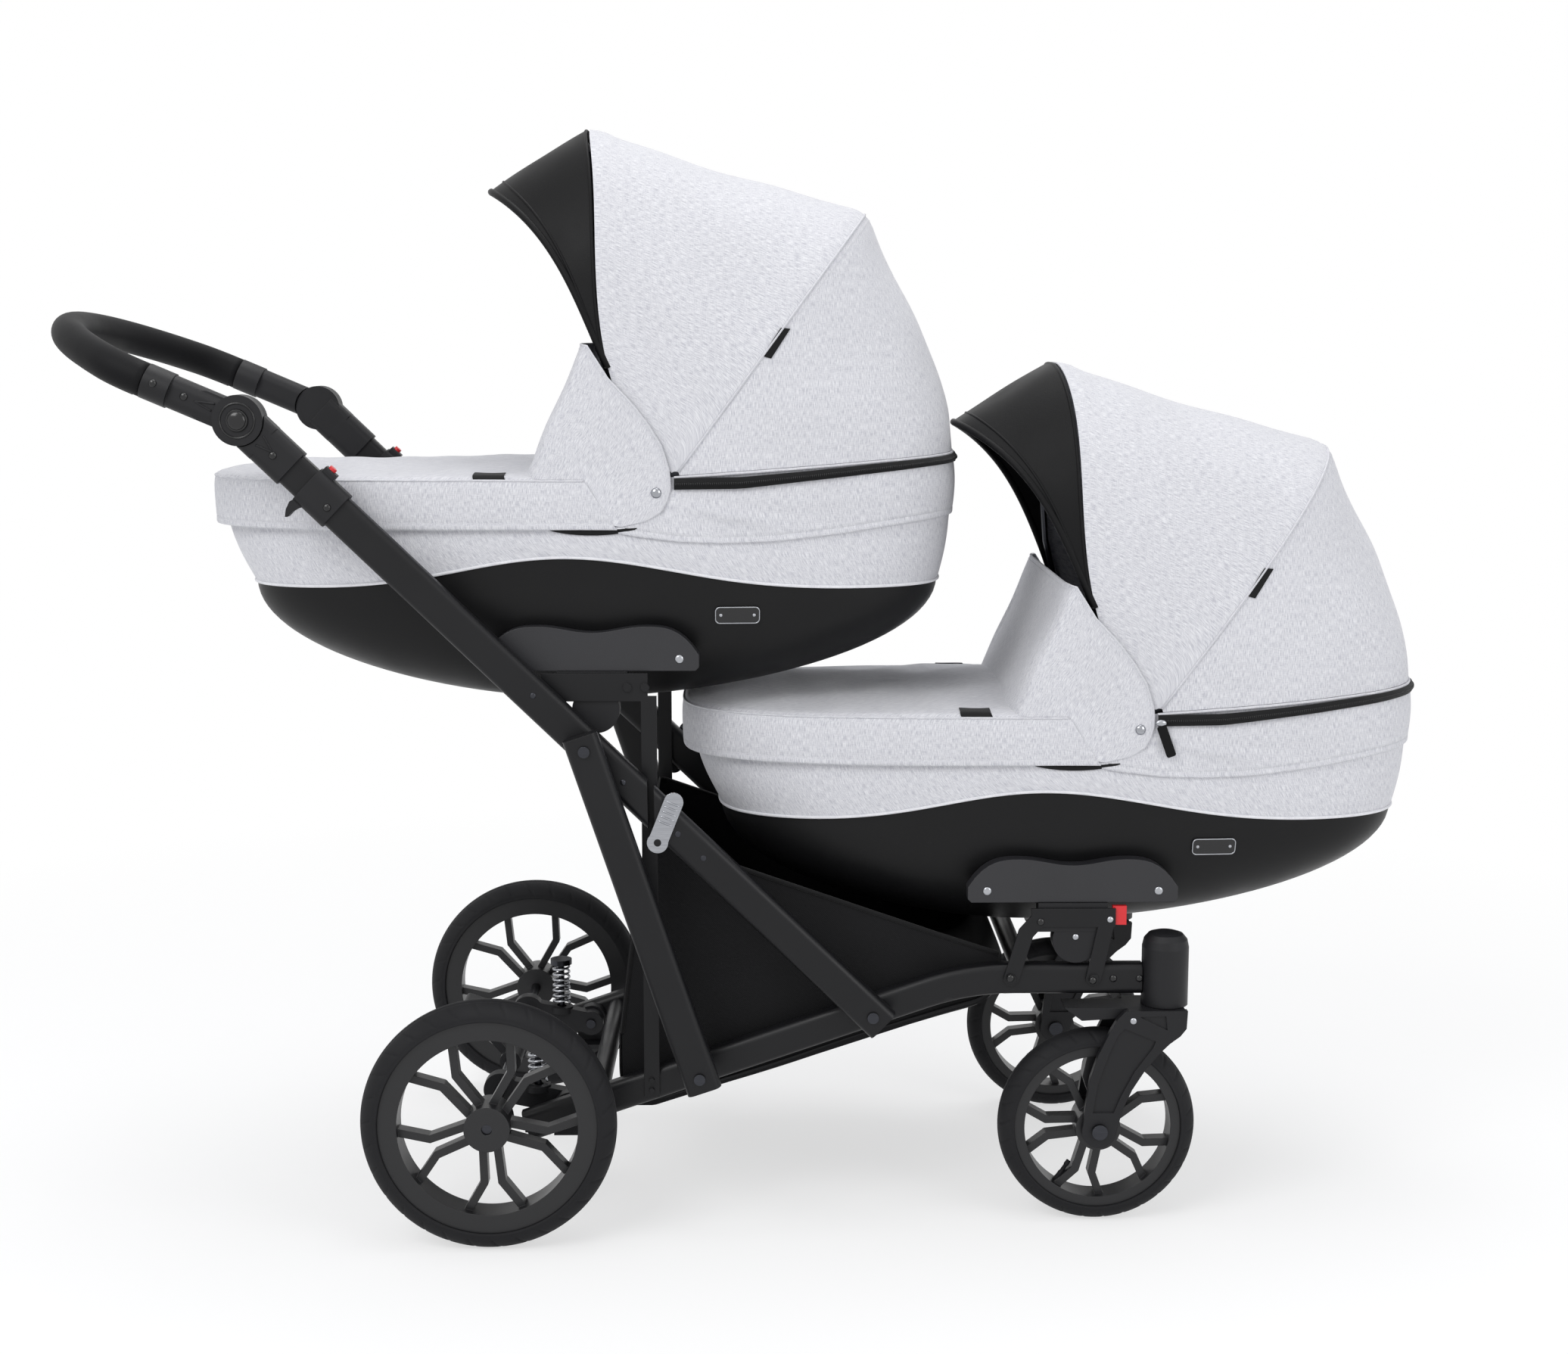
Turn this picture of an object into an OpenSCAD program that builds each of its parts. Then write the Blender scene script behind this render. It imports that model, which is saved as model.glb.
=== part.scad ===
// Twin pram: a steel folding chassis that carries two hooded carrycots, one above and one in front.
// Millimetres. +X is forward, towards the swivel wheels, +Z is up, the floor is Z = 0.

/* [Wheels] */
// Outside diameter of a rear tyre
rear_wheel_d = 290; // [270:2:300]
// Width of a rear tyre
rear_tyre_w = 44; // [36:1:48]
// Distance between the middles of the rear tyres
rear_track = 566; // [564:2:600]
// Place of the rear axle along the pram
rear_axle_x = -282; // [-300:1:-272]
// Outside diameter of a front tyre
front_wheel_d = 230; // [216:2:234]
// Width of a front tyre
front_tyre_w = 42; // [34:1:44]
// Distance between the two swivel axes
front_track = 400; // [396:1:408]
// Place of the swivel axes along the pram
swivel_x = 494; // [490:1:520]
// How far a front axle trails its swivel axis
trail = 77; // [66:1:80]
// Height of a rear tyre above the rim
rear_tyre_h = 21; // [18:1:24]
// Height of a rear rim's band
rear_rim_band = 22; // [16:1:26]
// Height of a front tyre above the rim
front_tyre_h = 18; // [16:1:20]
// Height of a front rim's band
front_rim_band = 12; // [10:1:16]
// Diameter of the wheel axles
axle_d = 12; // [10:1:14]

/* [Chassis] */
// Height of a lower tube's section
low_tube_h = 36; // [30:1:38]
// Depth of a lower tube's section
low_tube_w = 24; // [20:1:26]
// Height of the lower tubes at the front
low_tube_z = 289; // [286:1:296]
// Slope of the lower tubes towards the rear
low_slope = 19; // [17:0.5:20]
// Place of the bend in the lower tubes
bend_x = 266; // [250:1:280]
// Radius of that bend
bend_r = 320; // [200:5:360]
// Rear end of the lower tubes
low_rear_x = -248; // [-254:1:-240]
// Height of a leg's, strut's and handle tube's section
arm_h = 40; // [34:1:42]
// Depth of that section
arm_w = 23; // [20:1:24]
// Wall of the tubes
tube_wall = 2; // [1.5:0.1:3]
// Foot of the rear legs along the pram
leg_foot_x = -44; // [-50:1:-38]
// Height of the leg's pin above the lower tube's middle
leg_foot_rise = 8; // [0:1:9]
// Foot of the struts along the pram
strut_foot_x = 154; // [148:1:160]
// Slope of the struts and the handle tubes
strut_slope = 44.1; // [43:0.1:45]
// From the strut's foot pin to the joint with the strut's upper end
latch_run = 350; // [346:1:358]
// From the strut's foot pin to the leg's upper pin
hinge_run = 452; // [446:1:458]
// From the strut's foot pin to the handle's knob
knob_run = 977; // [960:1:990]
// Diameter of the folding pins
pin_d = 8; // [6:0.5:10]

/* [Handle] */
// Slope of the handle bar
bar_slope = 23; // [20:1:25]
// Straight run of the handle bar's arms from the knob
bar_straight = 118.9; // [114:0.1:124]
// Radius of the handle bar's bends
bar_bend = 70; // [60:1:72]
// Radius of the handle bar's arched cross bar
bar_arch = 280; // [275:5:320]
// Diameter of the handle bar
bar_d = 25; // [22:1:27]
// Diameter over the grip cover
grip_d = 39; // [34:1:40]
// Radius of the knobs
knob_r = 28; // [24:1:30]

/* [Carrycots] */
// Place of the upper carrycot's carrier
upper_x = -165; // [-170:1:-160]
// Height of the upper carrycot's bottom
upper_z = 604; // [600:1:612]
// Place of the lower carrycot's carrier
lower_x = 385; // [382:1:392]
// Height of the lower carrycot's bottom
lower_z = 334; // [328:1:336]
// From the carrier to the foot end
cot_foot = 446; // [436:1:450]
// From the carrier to the head end
cot_head = 418; // [408:1:422]
// Half width at the rim
cot_half_w = 196; // [186:1:197]
// Height of the rim
cot_rim = 258; // [252:1:262]
// Height of the black shell
shell_h = 137; // [128:1:142]
// Rise of the shell's upper edge at the carrier
shell_wave = 37; // [20:1:40]
// Wall of the shell with its lining
shell_wall = 6; // [4:0.5:8]
// Thickness of a cloth skin
cloth = 2.6; // [2:0.1:3]
// Thickness of the mattress
mattress_t = 40; // [30:1:50]
// Height of the hood over its pivot at the front bow
hood_front_r = 408; // [396:1:412]
// The same at the middle bow
hood_mid_r = 372; // [362:1:376]
// Lean of the front bow
front_bow_deg = 105; // [102:0.5:107]
// Lean of the middle bow
mid_bow_deg = 53.7; // [52:0.1:56]
// How far the visor stands forward of the front bow, in degrees
visor_deg = 19; // [14:0.5:20]

/* [Hidden] */
$fn = 64;
run_fit = 0.05;
air = 0.3;
plate_t = 3;
head_t = 3;
latch_room = 5.5;
cap_t = 3;
corner_r = 8;
bolt_head_d = 13;

sides = [-1, 1];
y_low = front_track / 2 - 4;
y_low_out = y_low + low_tube_w / 2;
y_low_in = y_low - low_tube_w / 2;
y_plate_out = y_low_out + plate_t;
y_arm_in = y_plate_out + head_t + 1.5;
y_arm = y_arm_in + arm_w / 2;
y_arm_out = y_arm_in + arm_w;
y_leg_in = y_arm_out + latch_room;
y_leg = y_leg_in + arm_w / 2;
y_leg_out = y_leg_in + arm_w;

rear_r = rear_wheel_d / 2;
front_r = front_wheel_d / 2;
front_axle_x = swivel_x - trail;
function z_low(x) = low_tube_z - (bend_x - x) * tan(low_slope);
bend_run = bend_r * tan(low_slope / 2);

leg_foot = [leg_foot_x, z_low(leg_foot_x) + leg_foot_rise];
strut_foot = [strut_foot_x, z_low(strut_foot_x) + 3];
strut_dir = 180 - strut_slope;
function on_strut(run, off = 0) = strut_foot
    + run * [cos(strut_dir), sin(strut_dir)] + off * [sin(strut_dir), -cos(strut_dir)];
hinge_at = on_strut(hinge_run);
knob_at = on_strut(knob_run);
leg_len = norm(hinge_at - leg_foot);
leg_dir = atan2(hinge_at[1] - leg_foot[1], hinge_at[0] - leg_foot[0]);
bar_dir = 180 - bar_slope;
bar_psi = asin((y_arm - bar_bend) / (bar_arch - bar_bend));
bar_run = bar_straight + bar_arch - (bar_arch - bar_bend) * cos(bar_psi);
arm_over = 17;
mitre = arm_h / 2;
latch_gap = 8;
latch_free = 2.2;
latch_pin = [latch_run - 31, -arm_h / 2 - 2.6];

susp_x = -199;
susp_z = z_low(susp_x) - 1;
spring_x = rear_axle_x + 44;
y_bracket_in = y_low_in - 16;
arm_plate = 17;
y_susp_out = y_bracket_in - 0.5;
y_susp = y_susp_out - arm_plate / 2;
spring_d = 24;
spring_wire = 3;
spring_turns = 7;
seat_z = rear_r + 5;
spring_top = rear_r + 62;
spring_lug_z = susp_z - 27;

housing_r = 27;
housing_low = low_tube_z - 30;
housing_top = low_tube_z + 55;
stem_r = 9;
crown_top = housing_low - 0.6;

// Closed surface through rings of equal count, counter-clockwise from above and listed upwards.
module loft(rings) {
    n = len(rings[0]);
    m = len(rings);
    points = [for (ring = rings) each ring];
    walls = [for (k = [0:m - 2], i = [0:n - 1])
        let (j = (i + 1) % n, a = k * n + i, b = k * n + j, c = a + n, d = b + n)
        each [[a, c, d], [a, d, b]]];
    low = [for (i = [1:n - 2]) [0, i, i + 1]];
    high = [for (i = [1:n - 2]) [(m - 1) * n, (m - 1) * n + i + 1, (m - 1) * n + i]];
    polyhedron(points, concat(walls, low, high), convexity = 6);
}

// Closed sheet between an outer and an inner grid of points, rows forward to back, columns right to left.
module sheet(outer, inner) {
    m = len(outer);
    n = len(outer[0]);
    s = m * n;
    points = concat([for (row = outer) each row], [for (row = inner) each row]);
    faces = [for (i = [0:m - 2], j = [0:n - 2])
        let (a = i * n + j, b = a + 1, c = a + n, d = c + 1)
        each [[a, b, d], [a, d, c], [s + a, s + d, s + b], [s + a, s + c, s + d]]];
    ends = [for (j = [0:n - 2])
        let (a = j, b = j + 1, c = (m - 1) * n + j, d = c + 1)
        each [[a, s + b, b], [a, s + a, s + b], [c, d, s + d], [c, s + d, s + c]]];
    edges = [for (i = [0:m - 2])
        let (a = i * n, c = a + n, b = a + n - 1, d = b + n)
        each [[a, c, s + c], [a, s + c, s + a], [b, s + d, d], [b, s + b, s + d]]];
    polyhedron(points, concat(faces, ends, edges), convexity = 8);
}

// Closed band: a row of four-cornered sections round a closed path.
module band(sections) {
    m = len(sections);
    k = len(sections[0]);
    points = [for (section = sections) each section];
    faces = [for (i = [0:m - 1], j = [0:k - 1])
        let (p = (i + 1) % m, q = (j + 1) % k, a = i * k + j, b = i * k + q, c = p * k + j, d = p * k + q)
        each [[a, b, d], [a, d, c]]];
    polyhedron(points, faces, convexity = 8);
}

// Tube of even thickness along points that are computed by its caller.
module tube_along(path, r, count, g) {
    m = len(path);
    function ahead(i) = let (v = path[min(i + 1, m - 1)] - path[max(i - 1, 0)]) v / norm(v);
    function ring(i) = let (t = ahead(i), e = cross(t, g), u = e / norm(e), w = cross(t, u))
        [for (k = [0:count - 1]) path[i] + r * (cos(360 * k / count) * u + sin(360 * k / count) * w)];
    loft([for (i = [0:m - 1]) ring(i)]);
}

module round_bar_2d(h, w, r) {
    square([h - 2 * r, w], center = true);
    square([h, w - 2 * r], center = true);
    for (i = sides, j = sides) translate([i * (h / 2 - r), j * (w / 2 - r)]) circle(r);
}

// Bar from a point of the side view, along a direction in degrees, with its middle at y.
module bar(p, dir, len, y, h, w, r) {
    translate([p[0], y, p[1]]) rotate([0, -dir, 0]) rotate([0, 90, 0])
        linear_extrude(len) round_bar_2d(h, w, r);
}

module hollow_bar(p, dir, len, y) {
    step = cap_t * [cos(dir), sin(dir)];
    difference() {
        bar(p, dir, len, y, arm_h, arm_w, corner_r);
        bar(p + step, dir, len - 2 * cap_t, y, arm_h - 2 * tube_wall, arm_w - 2 * tube_wall, corner_r - tube_wall);
    }
}

// Round pin across the pram between two distances from its middle, on the side that s names.
module cross_pin(p, s, y0, y1, r) {
    translate([p[0], s * (y0 + y1) / 2, p[1]]) rotate([90, 0, 0]) cylinder(r = r, h = y1 - y0, center = true);
}

module plate(s, y0, y1) {
    translate([0, s > 0 ? y1 : -y0, 0]) rotate([90, 0, 0]) linear_extrude(y1 - y0) children();
}

module flat_2d(p, q, w) {
    dir = atan2(q[1] - p[1], q[0] - p[0]);
    translate(p) rotate(dir) translate([0, -w / 2]) square([norm(q - p), w]);
}

// Strip with round ends, which stand a hair proud so that no edge is only tangent.
end_proud = 0.1;
module strip_2d(p, q, w) {
    flat_2d(p, q, w);
    translate(p) circle(d = w + end_proud);
    translate(q) circle(d = w + end_proud);
}

// Chassis

module lower_tube_form(s, h, w, r, x0, x1) {
    foot = [x0, z_low(x0)];
    bend_low = [bend_x - bend_run * cos(low_slope), low_tube_z - bend_run * sin(low_slope)];
    bar(foot, low_slope, norm(bend_low - foot), s * y_low, h, w, r);
    translate([bend_x + bend_run, s * y_low, low_tube_z - bend_r]) rotate([90, 0, 0]) rotate(90)
        rotate_extrude(angle = low_slope) translate([bend_r, 0]) round_bar_2d(h, w, r);
    bar([bend_x + bend_run, low_tube_z], 0, x1 - bend_x - bend_run, s * y_low, h, w, r);
}

module lower_tubes() {
    color("#1b1c1e") for (s = sides) difference() {
        lower_tube_form(s, low_tube_h, low_tube_w, corner_r, low_rear_x, swivel_x - housing_r - 0.1);
        lower_tube_form(s, low_tube_h - 2 * tube_wall, low_tube_w - 2 * tube_wall, corner_r - tube_wall,
            low_rear_x - 1, swivel_x - housing_r - cap_t);
        for (p = [leg_foot, strut_foot]) cross_pin(p, s, y_low_in - 1, y_low_out + 1, pin_d / 2 + run_fit);
    }
}

cross_r = 12;
cross_x = [low_rear_x + 82, bend_x + bend_run + 12];
module cross_tubes() {
    color("#1b1c1e") for (x = cross_x) translate([x, 0, min(z_low(x), low_tube_z)]) rotate([90, 0, 0]) difference() {
        cylinder(r = cross_r, h = 2 * y_low_in, center = true);
        cylinder(r = cross_r - tube_wall, h = 2 * y_low_in + 2, center = true);
    }
}

stem_len = 70;
module swivel_housings() {
    color("#1e1f21") for (s = sides) translate([swivel_x, s * front_track / 2, 0]) difference() {
        union() {
            translate([0, 0, housing_low]) cylinder(r = housing_r, h = housing_top - housing_low - 17);
            translate([0, 0, housing_top - 17]) cylinder(r1 = housing_r, r2 = housing_r - 2, h = 9);
            translate([0, 0, housing_top - 8]) cylinder(r1 = housing_r - 2, r2 = housing_r - 7, h = 6);
            translate([0, 0, housing_top - 2]) cylinder(r1 = housing_r - 7, r2 = housing_r - 13, h = 2);
        }
        translate([0, 0, housing_low - 1]) cylinder(r = stem_r + run_fit, h = stem_len + 2);
    }
}

module suspension_brackets() {
    color("#161719") for (s = sides) difference() {
        plate(s, y_bracket_in, y_low_in) {
            translate([susp_x, susp_z]) circle(19);
            translate([susp_x - 19, susp_z - 30]) square([34, 30]);
        }
        cross_pin([susp_x, susp_z], s, y_bracket_in - 1, y_low_in + 1, axle_d / 2);
    }
    color("#161719") for (s = sides) for (x = [spring_x]) difference() {
        translate([x - 15, s * y_susp - 15, spring_lug_z - 6]) cube([susp_x - x + 30, 30, 6]);
        translate([x, s * y_susp, spring_lug_z - 7]) cylinder(d = pin_d, h = 8);
    }
    color("#161719") for (s = sides)
        translate([susp_x - 19, s > 0 ? y_susp : -y_low_in, spring_lug_z - 6]) cube([34, y_low_in - y_susp, 6]);
}

module spring_rods() {
    color("#232426") for (s = sides) translate([spring_x, s * y_susp, 0]) {
        translate([0, 0, spring_lug_z - 6]) cylinder(d = pin_d, h = spring_top - spring_lug_z + 6);
        translate([0, 0, spring_top]) cylinder(d = spring_d + 4, h = 7);
    }
    color("#232426") for (s = sides)
        cross_pin([susp_x, susp_z], s, y_susp_out - arm_plate - 3, y_low_in, axle_d / 2);
}

module bolt(p, s, y0, y1, r) {
    cross_pin(p, s, y0, y1, r);
    cross_pin(p, s, y1, y1 + head_t, bolt_head_d / 2);
}

module frame_bolts() {
    color("#3a3b3e") for (s = sides) {
        bolt(leg_foot, s, y_low_in - 2, y_leg_out + air, pin_d / 2);
        difference() {
            cross_pin(leg_foot, s, y_low_out, y_leg_in - air, pin_d / 2 + 7);
            cross_pin(leg_foot, s, y_low_out - 1, y_leg_in, pin_d / 2);
        }
        bolt(strut_foot, s, y_low_in - 2, y_arm_out + air, pin_d / 2);
        difference() {
            cross_pin(strut_foot, s, y_low_out, y_arm_in - air, pin_d / 2 + 7);
            cross_pin(strut_foot, s, y_low_out - 1, y_arm_in, pin_d / 2);
        }
    }
}

// Carriers

link_w = 18;
rail_low = 18;
rail_h = 22;
lower_rail_len = 97;
rear_link = [-70, -46];
front_link = [25, 40];
module link_holes(x) {
    translate([x, low_tube_z]) circle(d = 7);
}
module lower_carriers() {
    z_rail = lower_z + rail_low + rail_h / 2;
    color("#1b1c1e") for (s = sides) plate(s, y_low_out, y_plate_out) {
        strip_2d([lower_x + rear_link[0], low_tube_z + 2], [lower_x + rear_link[1] - 8, z_rail - 18], link_w);
        strip_2d([lower_x + rear_link[1] - 8, z_rail - 18], [lower_x + rear_link[1] + 8, z_rail], link_w);
        strip_2d([lower_x + front_link[0], low_tube_z + 2], [lower_x + front_link[1], z_rail], link_w);
        translate([lower_x - 48, lower_z + rail_low]) square([lower_rail_len, rail_h]);
    }
    color("#3a3b3e") for (s = sides, x = [rear_link[0], front_link[0]])
        cross_pin([lower_x + x, low_tube_z + 2], s, y_plate_out, y_plate_out + head_t, 5.5);
}

post_x = upper_x + 64;
upper_rail_low = 12;
upper_rail_h = 32;
upper_rail_len = 120;
upper_rail_back = 57;
module upper_carriers() {
    color("#1b1c1e") for (s = sides) plate(s, y_low_out, y_plate_out) {
        translate([post_x - link_w / 2, z_low(post_x) - 12]) square([link_w, upper_z + 30 - z_low(post_x)]);
        translate([upper_x - upper_rail_back, upper_z + upper_rail_low]) square([upper_rail_len, upper_rail_h]);
    }
    color("#3a3b3e") for (s = sides) {
        for (rise = [-3, 7]) cross_pin([post_x, z_low(post_x) + rise * 1.2], s, y_plate_out, y_plate_out + head_t, 3.2);
        for (x = [40, 60]) cross_pin([upper_x + x, upper_z + 28], s, y_plate_out, y_plate_out + head_t, 5);
    }
}

adapter_half = 40;
adapter_in = 22;
mount_low = 46;
mount_h = 50.5;
mount_dip = 7.2;
mount_end = 18;
mount_half = 121;
tongue = [19, 7, 27];
tongue_y = y_low_out - 14;
module adapter(x, z, s) {
    cross_pin([x + 4, z + 2], s, y_low_out - adapter_in, y_low_out - air, 27);
    translate([x - adapter_half, s > 0 ? y_low_out - adapter_in : -y_low_out, z + 12])
        cube([2 * adapter_half, adapter_in, mount_low - 12 - air]);
    translate([x - tongue[0], s * tongue_y - tongue[1] / 2, z + mount_low - air - 1])
        cube([2 * tongue[0], tongue[1], tongue[2]]);
}
module adapters() {
    color("#141517") for (s = sides) {
        adapter(upper_x, upper_z, s);
        adapter(lower_x, lower_z, s);
    }
}

tab = [16, 8, 22];
tab_travel = 4;
module release_tabs() {
    color("#c3202b") for (s = sides, at = [[upper_x + 56, upper_z - 8], [lower_x + 46, lower_z + 20]])
        translate([at[0], s > 0 ? y_low_out - air - tab[1] : air - y_low_out, at[1]]) cube(tab);
}

// Basket

basket_inset = 108;
basket_lean = 34;
basket_back_h = 292;
basket_rear = low_rear_x + basket_inset;
basket_front = bend_x + bend_run - 14;
basket_half = y_low_in - 2;
basket_wall = 3;
basket_drop = 26;
basket_back_top = z_low(basket_rear + basket_lean) + basket_back_h;
basket_front_top = low_tube_z + 24;
function basket_side(t, top) = [
    [basket_rear + t, z_low(basket_rear) - basket_drop + 14 + t],
    [basket_rear + 24 + t, z_low(basket_rear) - basket_drop + t],
    [basket_front - 30, low_tube_z - basket_drop - 10 + t],
    [basket_front - t, low_tube_z - basket_drop + 6 + t],
    [basket_front - t, basket_front_top + top],
    [basket_rear + basket_lean + t, basket_back_top + top]];
module basket() {
    color("#141416") difference() {
        plate(1, -basket_half, basket_half) polygon(basket_side(0, 0));
        plate(1, basket_wall - basket_half, basket_half - basket_wall) polygon(basket_side(basket_wall, 20));
    }
}

// Rear suspension and wheels

module rear_arms() {
    color("#17181a") for (s = sides) {
        difference() {
            plate(s, y_susp_out - arm_plate, y_susp_out) {
                translate([susp_x, susp_z]) circle(16);
                translate([rear_axle_x, rear_r]) circle(20);
                strip_2d([susp_x, susp_z], [rear_axle_x, rear_r], 28);
            }
            cross_pin([susp_x, susp_z], s, y_susp_out - arm_plate - 1, y_susp_out + 1, axle_d / 2 + run_fit);
            cross_pin([rear_axle_x, rear_r], s, y_susp_out - arm_plate - 1, y_susp_out + 1, axle_d / 2);
            translate([spring_x, s * y_susp, susp_z - 30]) cylinder(d = pin_d + 5, h = 90);
        }
        difference() {
            translate([spring_x, s * y_susp, seat_z - 8]) cylinder(d = spring_d + 6, h = 8);
            translate([spring_x, s * y_susp, seat_z - 9]) cylinder(d = pin_d + 5, h = 10);
        }
    }
}

module rear_axle() {
    color("#5a5c60") translate([rear_axle_x, 0, rear_r]) rotate([90, 0, 0])
        cylinder(d = axle_d, h = rear_track + 40, center = true);
}

spring_low = seat_z + spring_wire / 2 + air;
spring_high = spring_top - spring_wire / 2 - air;
spring_rise = (spring_high - spring_low) / spring_turns;
function spring_point(turn) = [spring_d / 2 * cos(360 * turn), spring_d / 2 * sin(360 * turn), spring_low + spring_rise * turn];
spring_steps = 8;
spring_path = [for (i = [0:spring_turns * spring_steps]) spring_point(i / spring_steps)];
spring_least_gap = min([for (i = [0:len(spring_path) - 1 - spring_steps])
    norm(spring_path[i + spring_steps] - spring_path[i])]) - spring_wire;
echo(spring_least_gap = spring_least_gap);
module springs() {
    color("#b9bcc0") for (s = sides) translate([spring_x, s * y_susp, 0]) tube_along(spring_path, spring_wire / 2, 6, [0, 0, 1]);
}

pedal_half = 62;
module brake_pedal() {
    color("#17181a") difference() {
        union() {
            translate([rear_axle_x, 0, rear_r]) rotate([90, 0, 0]) cylinder(d = axle_d + 14, h = 2 * pedal_half, center = true);
            plate(1, -pedal_half + 12, pedal_half - 12) {
                flat_2d([rear_axle_x - 6.4, rear_r + 6.4], [rear_axle_x - 34, rear_r + 40], 9);
                strip_2d([rear_axle_x - 34, rear_r + 40], [rear_axle_x - 62, rear_r + 50], 9);
            }
        }
        translate([rear_axle_x, 0, rear_r]) rotate([90, 0, 0]) cylinder(d = axle_d + 2 * run_fit, h = 4 * pedal_half, center = true);
    }
}

spoke_w = 9;
module spokes_2d(hub_r, rim_r, turn) {
    knee = (hub_r + rim_r) / 2 + 2;
    for (k = [0:4]) rotate(turn + 72 * k) for (m = sides) {
        strip_2d([hub_r - 4, m * 8], [knee, m * 10], spoke_w);
        strip_2d([knee, m * 10], [rim_r * cos(18), m * rim_r * sin(18)], spoke_w);
    }
}

module wheel_rim(r, width, turn, hub_out, tyre_h, rim_band) {
    band_out = r - tyre_h;
    band_in = band_out - rim_band;
    rotate([90, 0, 0]) difference() {
        union() {
            rotate_extrude() translate([band_in, -width / 2]) square([rim_band - 0.2, width]);
            translate([0, 0, -8]) linear_extrude(16) spokes_2d(24, band_in + 4, turn);
            translate([0, 0, -hub_out]) cylinder(r = 26, h = 2 * hub_out);
        }
        cylinder(d = axle_d + 2 * run_fit, h = 4 * hub_out, center = true);
    }
}

module wheel_tyre(r, width, tyre_h) {
    rotate([90, 0, 0]) rotate_extrude() difference() {
        translate([r - width / 2, 0]) circle(d = width);
        translate([0, -width]) square([r - tyre_h, 2 * width]);
    }
}

rear_hub_out = 23;
front_hub_out = front_tyre_w / 2 + 2;
rim_inset = 8;
module rear_rim(s) {
    color("#1a1b1d") translate([rear_axle_x, s * rear_track / 2, rear_r])
        wheel_rim(rear_r, rear_tyre_w - rim_inset, 58, rear_hub_out, rear_tyre_h, rear_rim_band);
}
module rear_tyre(s) {
    color("#202123") translate([rear_axle_x, s * rear_track / 2, rear_r]) wheel_tyre(rear_r, rear_tyre_w, rear_tyre_h);
}
module rear_rim_right() { rear_rim(-1); }
module rear_rim_left() { rear_rim(1); }
module rear_tyre_right() { rear_tyre(-1); }
module rear_tyre_left() { rear_tyre(1); }

// Front forks and wheels

fork_in = front_hub_out + 1;
fork_t = 9;
hub_boss_r = 20;
fork_sunk = 2.5;
axle_at = [front_axle_x, front_r];
crown_at = [swivel_x, crown_top];
// Blade's outline and its sunk panels: points below take their place from the axle, points above from the crown.
module fork_side_2d() {
    translate(axle_at) circle(hub_boss_r);
    polygon(concat([for (p = [[-19, 5], [-17, 27], [-12, 63], [-3, 91]]) axle_at + p],
        [for (p = [[-67, -25], [-58, -9], [-50, -1], [-46, 0], [22, 0], [21, -21], [14, -30], [2, -39], [-7, -48]]) crown_at + p],
        [for (p = [[52, 74], [37, 50], [26, 25], [20.5, 2]]) axle_at + p]));
}
module fork_sunk_2d() {
    polygon(concat([for (p = [[-8, 22], [-3, 55], [9, 91]]) axle_at + p],
        [for (p = [[-57, -28], [-50, -21], [-14, -36], [-18, -45]]) crown_at + p],
        [for (p = [[39, 71], [24, 42], [16, 22]]) axle_at + p]));
    polygon([for (p = [[-33, -7], [-3, -6], [-1, -23]]) crown_at + p]);
}
guard_half = 20;
module fork(s) {
    half = fork_in + fork_t;
    color("#1c1d1f") translate([0, s * front_track / 2, 0]) {
        difference() {
            union() {
                for (m = sides) plate(m, fork_in, half) fork_side_2d();
                translate([swivel_x - 46, -half, crown_top - 20]) cube([66, 2 * half, 20]);
                plate(1, -guard_half, guard_half) polygon([for (p = [[-118, 0], [-98, -15], [-46, -12], [-40, -5],
                    [-40, 0]]) crown_at + p]);
            }
            for (m = sides) plate(m, half - fork_sunk, half + 1) fork_sunk_2d();
            translate([front_axle_x, 0, front_r]) rotate([90, 0, 0]) cylinder(d = axle_d, h = 4 * half, center = true);
        }
        translate([swivel_x, 0, crown_top - 1]) cylinder(r = stem_r, h = stem_len);
    }
}
module fork_right() { fork(-1); }
module fork_left() { fork(1); }

module front_axle(s) {
    half = fork_in + fork_t;
    color("#4a4c50") translate([front_axle_x, s * front_track / 2, front_r]) rotate([90, 0, 0]) {
        cylinder(d = axle_d, h = 2 * half, center = true);
        for (m = sides) translate([0, 0, m * (half + 2.5)]) cylinder(d = axle_d + 6, h = 5, center = true);
    }
}
module front_axle_right() { front_axle(-1); }
module front_axle_left() { front_axle(1); }

module front_rim(s) {
    color("#1a1b1d") translate([front_axle_x, s * front_track / 2, front_r])
        wheel_rim(front_r, front_tyre_w - rim_inset, 40, front_hub_out, front_tyre_h, front_rim_band);
}
module front_tyre(s) {
    color("#202123") translate([front_axle_x, s * front_track / 2, front_r]) wheel_tyre(front_r, front_tyre_w, front_tyre_h);
}
module front_rim_right() { front_rim(-1); }
module front_rim_left() { front_rim(1); }
module front_tyre_right() { front_tyre(-1); }
module front_tyre_left() { front_tyre(1); }

// Legs, struts and latches

module rear_legs() {
    start = leg_foot - arm_over * [cos(leg_dir), sin(leg_dir)];
    color("#1c1d1f") for (s = sides) difference() {
        hollow_bar(start, leg_dir, leg_len + 2 * arm_over, s * y_leg);
        cross_pin(leg_foot, s, y_leg_in - 1, y_leg_out + 1, pin_d / 2 + run_fit);
        cross_pin(hinge_at, s, y_leg_in - 1, y_leg_out + 1, pin_d / 2);
    }
}

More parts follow.
